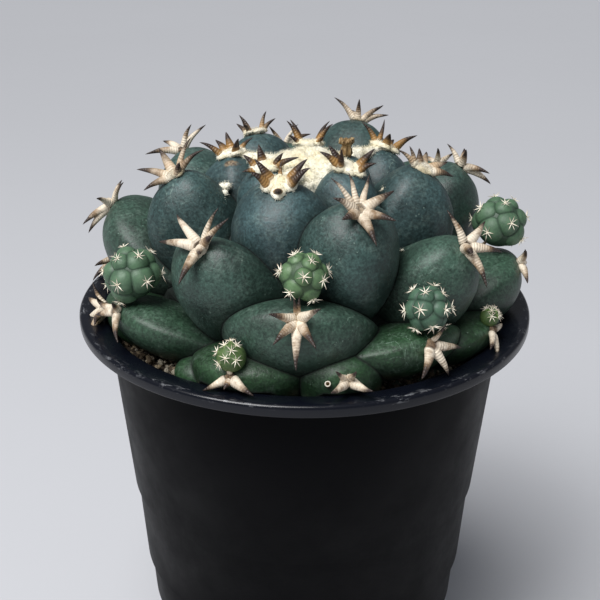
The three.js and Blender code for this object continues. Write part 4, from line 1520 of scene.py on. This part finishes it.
class CACTUS_OT_wool(bpy.types.Operator):
    """Fills the crown with wool, in ridges that run out to the young areoles."""

    bl_idname = "cactus.wool"
    bl_label = "Wool"

    def execute(self, context):
        helpers = {"hair": helper(unit_hair(2))}
        net = wool_net(helpers, bpy.data.materials["felt"])
        finish(grown("crown_tuft", wool_seeds(), net), "wool", "crown_wool")
        net.give("Fineness", 0.3 * MM)
        net.give("Tuft Depth", 1.2 * MM)
        places = [from_rim(tuft[:3]) for tuft in AXIL_TUFTS]
        base = seeds("axils", places, {"size": [tuft[3] * MM for tuft in AXIL_TUFTS]})
        finish(grown("axil_tufts", base, net), "wool")
        return {"FINISHED"}


def flower_mesh(low, high):
    """A crumpled, pleated tube with a ragged mouth, between two corners of its box."""
    middle = (low + high) / 2
    tall = high.z - low.z
    pleats, pleat_depth, crumpling, raggedness, mouth = 7, 0.13, 0.55, 0.5, 0.6
    rings = [[(middle.x, middle.y, low.z)]]
    for part, radius in FLOWER:
        ring = []
        torn = raggedness * max(0.0, part - mouth)
        for x, y, _ in circle(1, 0, 40):
            turn = math.atan2(y, x)
            crumple = noise.noise(Vector((x, y, 1.5 * part)) * 1.7)
            pleat = 1 + pleat_depth * math.sin(pleats * turn + 3 * part) + crumpling * crumple
            rag = torn * (0.5 + 1.4 * noise.noise(Vector((3 * x, 3 * y, 4.0))))
            ring.append((middle.x + radius * pleat * x * MM, middle.y + radius * pleat * y * MM,
                         low.z + tall * (part - rag)))
        rings.append(ring)
    rings.append([(middle.x, middle.y, low.z + 0.5 * tall)])
    return ringed("dried_flower", rings)


def stub_mesh():
    """The short hollow stub of an old flower, leaning out, with a bleached mouth."""
    tube = [(0, 0), (0.7, 0), (0.75, 1.6), (0.9, 2.6), (0.7, 2.75), (0.45, 2.5), (0.4, 1.2), (0, 1.1)]
    bleached_from = 2.55 * MM
    stub = turned("stub", [(r * MM, z * MM) for r, z in tube], 16)
    carry(stub, "pale", [float(vertex.co.z > bleached_from) for vertex in stub.vertices])
    stub.transform(Vector(STUB_LEAN).to_track_quat("Z", "Y").to_matrix().to_4x4())
    stub.transform(Matrix.Translation(from_rim(STUB)))
    return stub


class CACTUS_OT_flower(bpy.types.Operator):
    """Puts the withered flower in the crown, and the stub of an old one low at the front."""

    bl_idname = "cactus.flower"
    bl_label = "Dried flower"

    def execute(self, context):
        dry = dry_material()
        low, high = (Vector(corner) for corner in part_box("dried_flower"))
        flower, stub = flower_mesh(low, high), stub_mesh()
        for mesh in (flower, stub):
            mesh.materials.append(dry)
        finish(link("withered_flower", flower), "dried_flower", "dried_flower")
        finish(link("old_stub", stub), "dried_flower")
        return {"FINISHED"}


# Soil and pot


def unit_grain():
    """An angular grain of about unit size, with twenty faces."""
    chance = random.Random(21)
    rings = [[(0, 0, -0.8)]]
    for height, radius in ((-0.45, 0.8), (0.15, 1.0), (0.6, 0.6)):
        ring = []
        for x, y, z in circle(radius, height, 5):
            ring.append((x * chance.uniform(0.75, 1.2), y * chance.uniform(0.75, 1.2),
                         z * chance.uniform(0.8, 1.2)))
        rings.append(ring)
    rings.append([(0, 0, 0.85)])
    return ringed("unit_grain", rings)


def grit_net(helpers, settings, grit):
    """Scatters grains over the bed, each turned, sized and toned by chance."""
    net = GeometryNet("grit")
    grain = net.shape("Grain", helpers["grain"])
    size = net.given("Grain Size", "Float", settings.grain)
    density = net.given("Grains per Square Metre", "Float", 6e5)
    seed = net.given("Seed", "Int", settings.seed)
    ring = net.given("Inner Radius", "Float", 47 * MM)
    place = net.place()
    upward = net.axes(net.normal())
    outer = (net.vectors("LENGTH", place * (1, 1, 0)) > ring) * (upward.out("Z") > 0.8)
    open_top = net.node("GeometryNodeSeparateGeometry", {"domain": "FACE"},
                        {"Geometry": net.base, "Selection": outer})
    spots = net.node("GeometryNodeDistributePointsOnFaces", None,
                     {"Mesh": open_top, "Density": density, "Seed": seed})

    lowest, highest = -0.6 * MM, 1.8 * MM
    spots = net.moved(spots, net.xyz(0.0, 0.0, net.chance(lowest, highest, 1)))
    turn = net.turn_by(net.chance((0.0, 0.0, 0.0), (6.28, 6.28, 6.28), 2, "FLOAT_VECTOR"))
    stretch = net.chance((0.7, 0.7, 0.6), (1.2, 1.2, 1.1), 4, "FLOAT_VECTOR")
    scale = net.chance(0.4, 1.0, 3)
    strewn = net.planted(spots, grain, rotation=turn, scale=stretch * (scale * size))
    strewn = net.stored(strewn, "tone", net.chance(0.0, 1.0, 5), "FLOAT", "INSTANCE")
    grains = net.smoothed(net.real(strewn), False)
    bed = net.stored(net.base, "tone", 0.05)
    net.give_back(net.finished(net.joined(bed, grains), grit))
    return net


class CACTUS_OT_soil(bpy.types.Operator):
    """Fills the pot and scatters grit on top."""

    bl_idname = "cactus.soil"
    bl_label = "Soil and grit"

    def execute(self, context):
        settings = context.scene.cactus.pot
        top = RIM_HEIGHT - settings.soil_depth
        low_radius, low = (measure * MM for measure in BED_LOW)
        wide, narrow = (radius * MM for radius in BED_TOP_RADII)
        high = top - BED_DROP * MM
        profile = [(0, low), (low_radius, low), (wide, high), (narrow, high), (0, high)]
        net = grit_net({"grain": helper(unit_grain())}, settings, grit_material())
        finish(grown("soil_and_grit", turned("bed", profile, 96), net), "soil", "soil")
        return {"FINISHED"}


def drained_net(helpers, plastic):
    """Drills the drain holes through the pot's floor, evenly round a circle."""
    net = GeometryNet("drained_pot")
    drill = net.shape("Drill", helpers["drill"])
    holes = net.given("Holes", "Int", DRAIN_HOLES)
    ring_radius = net.given("Ring of Holes", "Float", DRAIN_CIRCLE * MM)
    ring = net.node("GeometryNodeMeshCircle", None, {"Vertices": holes, "Radius": ring_radius})
    turned_ring = net.node("GeometryNodeTransform", None, {
        "Geometry": ring, "Rotation": (0, 0, math.pi / DRAIN_HOLES)})
    drills = net.planted(turned_ring, drill)
    shell = net.cut(net.base, drills)
    sharp = net.node("GeometryNodeInputMeshEdgeAngle") > math.radians(50)
    net.give_back(net.finished(net.sharpened(shell, sharp), plastic))
    return net


def rim_round(size, height, first, steps):
    """Stations round a quarter circle at the rim's edge, from the first angle on, in degrees."""
    turns = [math.radians(first + 90 * step / steps) for step in range(steps + 1)]
    return [(RIM_RADIUS - size + size * math.cos(turn), height + size * math.sin(turn))
            for turn in turns]


class CACTUS_OT_pot(bpy.types.Operator):
    """Turns the plastic pot with its rolled rim, shelves and drain holes."""

    bl_idname = "cactus.pot"
    bl_label = "Pot"

    def execute(self, context):
        settings = context.scene.cactus.pot
        profile = [(radius * MM, height * MM) for radius, height in POT_OUTSIDE]
        profile += rim_round(RIM_UNDER_ROUND * MM, RIM_HEIGHT - RIM_FACE * MM, -90, 3)
        profile += rim_round(RIM_TOP_ROUND * MM, RIM_HEIGHT - RIM_TOP_ROUND * MM, 0, 5)
        profile += [(radius * MM, RIM_HEIGHT - depth * MM) for radius, depth in POT_INSIDE]
        profile += [(INNER_BASE_RADIUS * MM, POT_FLOOR * MM), (0, POT_FLOOR * MM)]
        half, radius = 2 * POT_FLOOR * MM, DRAIN_RADIUS * MM
        drill = turned("drill", [(0, -half), (radius, -half), (radius, half), (0, half)], 32)
        net = drained_net({"drill": helper(drill)}, plastic_material(settings))
        finish(grown("pot_shell", turned("shell", profile, 192), net), "pot", "pot")
        return {"FINISHED"}


# Stage


def camera_matrix(stage):
    """The photograph's viewpoint: a small roll, and the rim's centre a little off the middle."""
    roll = math.radians(0.24)
    back = Vector((0, -math.cos(stage.elevation), math.sin(stage.elevation)))
    right = Vector((1, 0, 0))
    up = back.cross(right)
    aside, raised = 1.509 * MM, -1.56 * MM
    place = back * stage.distance - right * aside + up * raised + Vector((0, 0, RIM_HEIGHT))
    turned_by = Matrix((right, up, back)).transposed() @ Matrix.Rotation(roll, 3, "Z")
    matrix = turned_by.to_4x4()
    matrix.translation = place
    return matrix


def area_light(name, place, aim, size, watts):
    light = bpy.data.lights.new(name, "AREA")
    light.shape = "RECTANGLE"
    light.size, light.size_y = size
    light.energy = watts
    lamp = link(name, light)
    lamp.location = place
    lamp.rotation_euler = (Vector(place) - Vector(aim)).to_track_quat("Z", "Y").to_euler()


class CACTUS_OT_stage(bpy.types.Operator):
    """Sets up the pale floor, the soft studio lights and the camera."""

    bl_idname = "cactus.stage"
    bl_label = "Stage"

    def execute(self, context):
        scene = context.scene
        stage = scene.cactus.stage
        reach = 6
        mesh = bpy.data.meshes.new("floor")
        mesh.from_pydata([(-reach, -reach, 0), (reach, -reach, 0), (reach, reach, 0),
                          (-reach, reach, 0)], [], [(0, 1, 2, 3)])
        mesh.materials.append(floor_material(stage))
        floor = link("floor", mesh)
        world = bpy.data.worlds.new("studio")
        world.use_nodes = True
        background = world.node_tree.nodes["Background"]
        background.inputs["Color"].default_value = (*srgb(214, 218, 226), 1)
        background.inputs["Strength"].default_value = 0.28
        scene.world = world
        middle = (0, 0, RIM_HEIGHT)
        sun = bpy.data.lights.new("daylight", "SUN")
        sun.energy = 2.25
        sun.angle = math.radians(38)
        lamp = link("daylight", sun)
        lamp.rotation_euler = Vector((-0.3, -0.35, 1.0)).to_track_quat("Z", "Y").to_euler()
        area_light("key", (-0.3, -0.35, 0.75), middle, (0.35, 0.35), 3.5)
        camera = link("camera", bpy.data.cameras.new("camera"))
        camera.data.lens = stage.lens
        camera.data.sensor_width = 36
        camera.data.clip_start = 0.01
        camera.matrix_world = camera_matrix(stage)
        scene.camera = camera
        scene.view_settings.view_transform = "Standard"
        return {"FINISHED"}


class CACTUS_PT_panel(bpy.types.Panel):
    """The sidebar panel with a button for each piece."""

    bl_idname = "CACTUS_PT_panel"
    bl_label = "Elephant tooth cactus"
    bl_space_type = "VIEW_3D"
    bl_region_type = "UI"
    bl_category = "Cactus"

    def draw(self, context):
        for step in STEPS:
            self.layout.operator(step.bl_idname)
        for group in ("plant", "spines", "pot", "stage"):
            settings = getattr(context.scene.cactus, group)
            box = self.layout.box()
            for name in settings.__annotations__:
                box.prop(settings, name)


STEPS = (CACTUS_OT_layout, CACTUS_OT_stem, CACTUS_OT_areoles, CACTUS_OT_offsets, CACTUS_OT_wool,
         CACTUS_OT_flower, CACTUS_OT_soil, CACTUS_OT_pot, CACTUS_OT_stage)
CLASSES = (CactusPlantSettings, CactusSpineSettings, CactusPotSettings, CactusStageSettings,
           CactusSettings, *STEPS, CACTUS_PT_panel)


def register():
    for one in CLASSES:
        bpy.utils.register_class(one)
    bpy.types.Scene.cactus = PointerProperty(type=CactusSettings)


def unregister():
    del bpy.types.Scene.cactus
    for one in reversed(CLASSES):
        bpy.utils.unregister_class(one)


def main():
    register()
    for step in STEPS:
        area, name = step.bl_idname.split(".")
        getattr(getattr(bpy.ops, area), name)()
    clear_helpers()


if __name__ == "__main__":
    main()
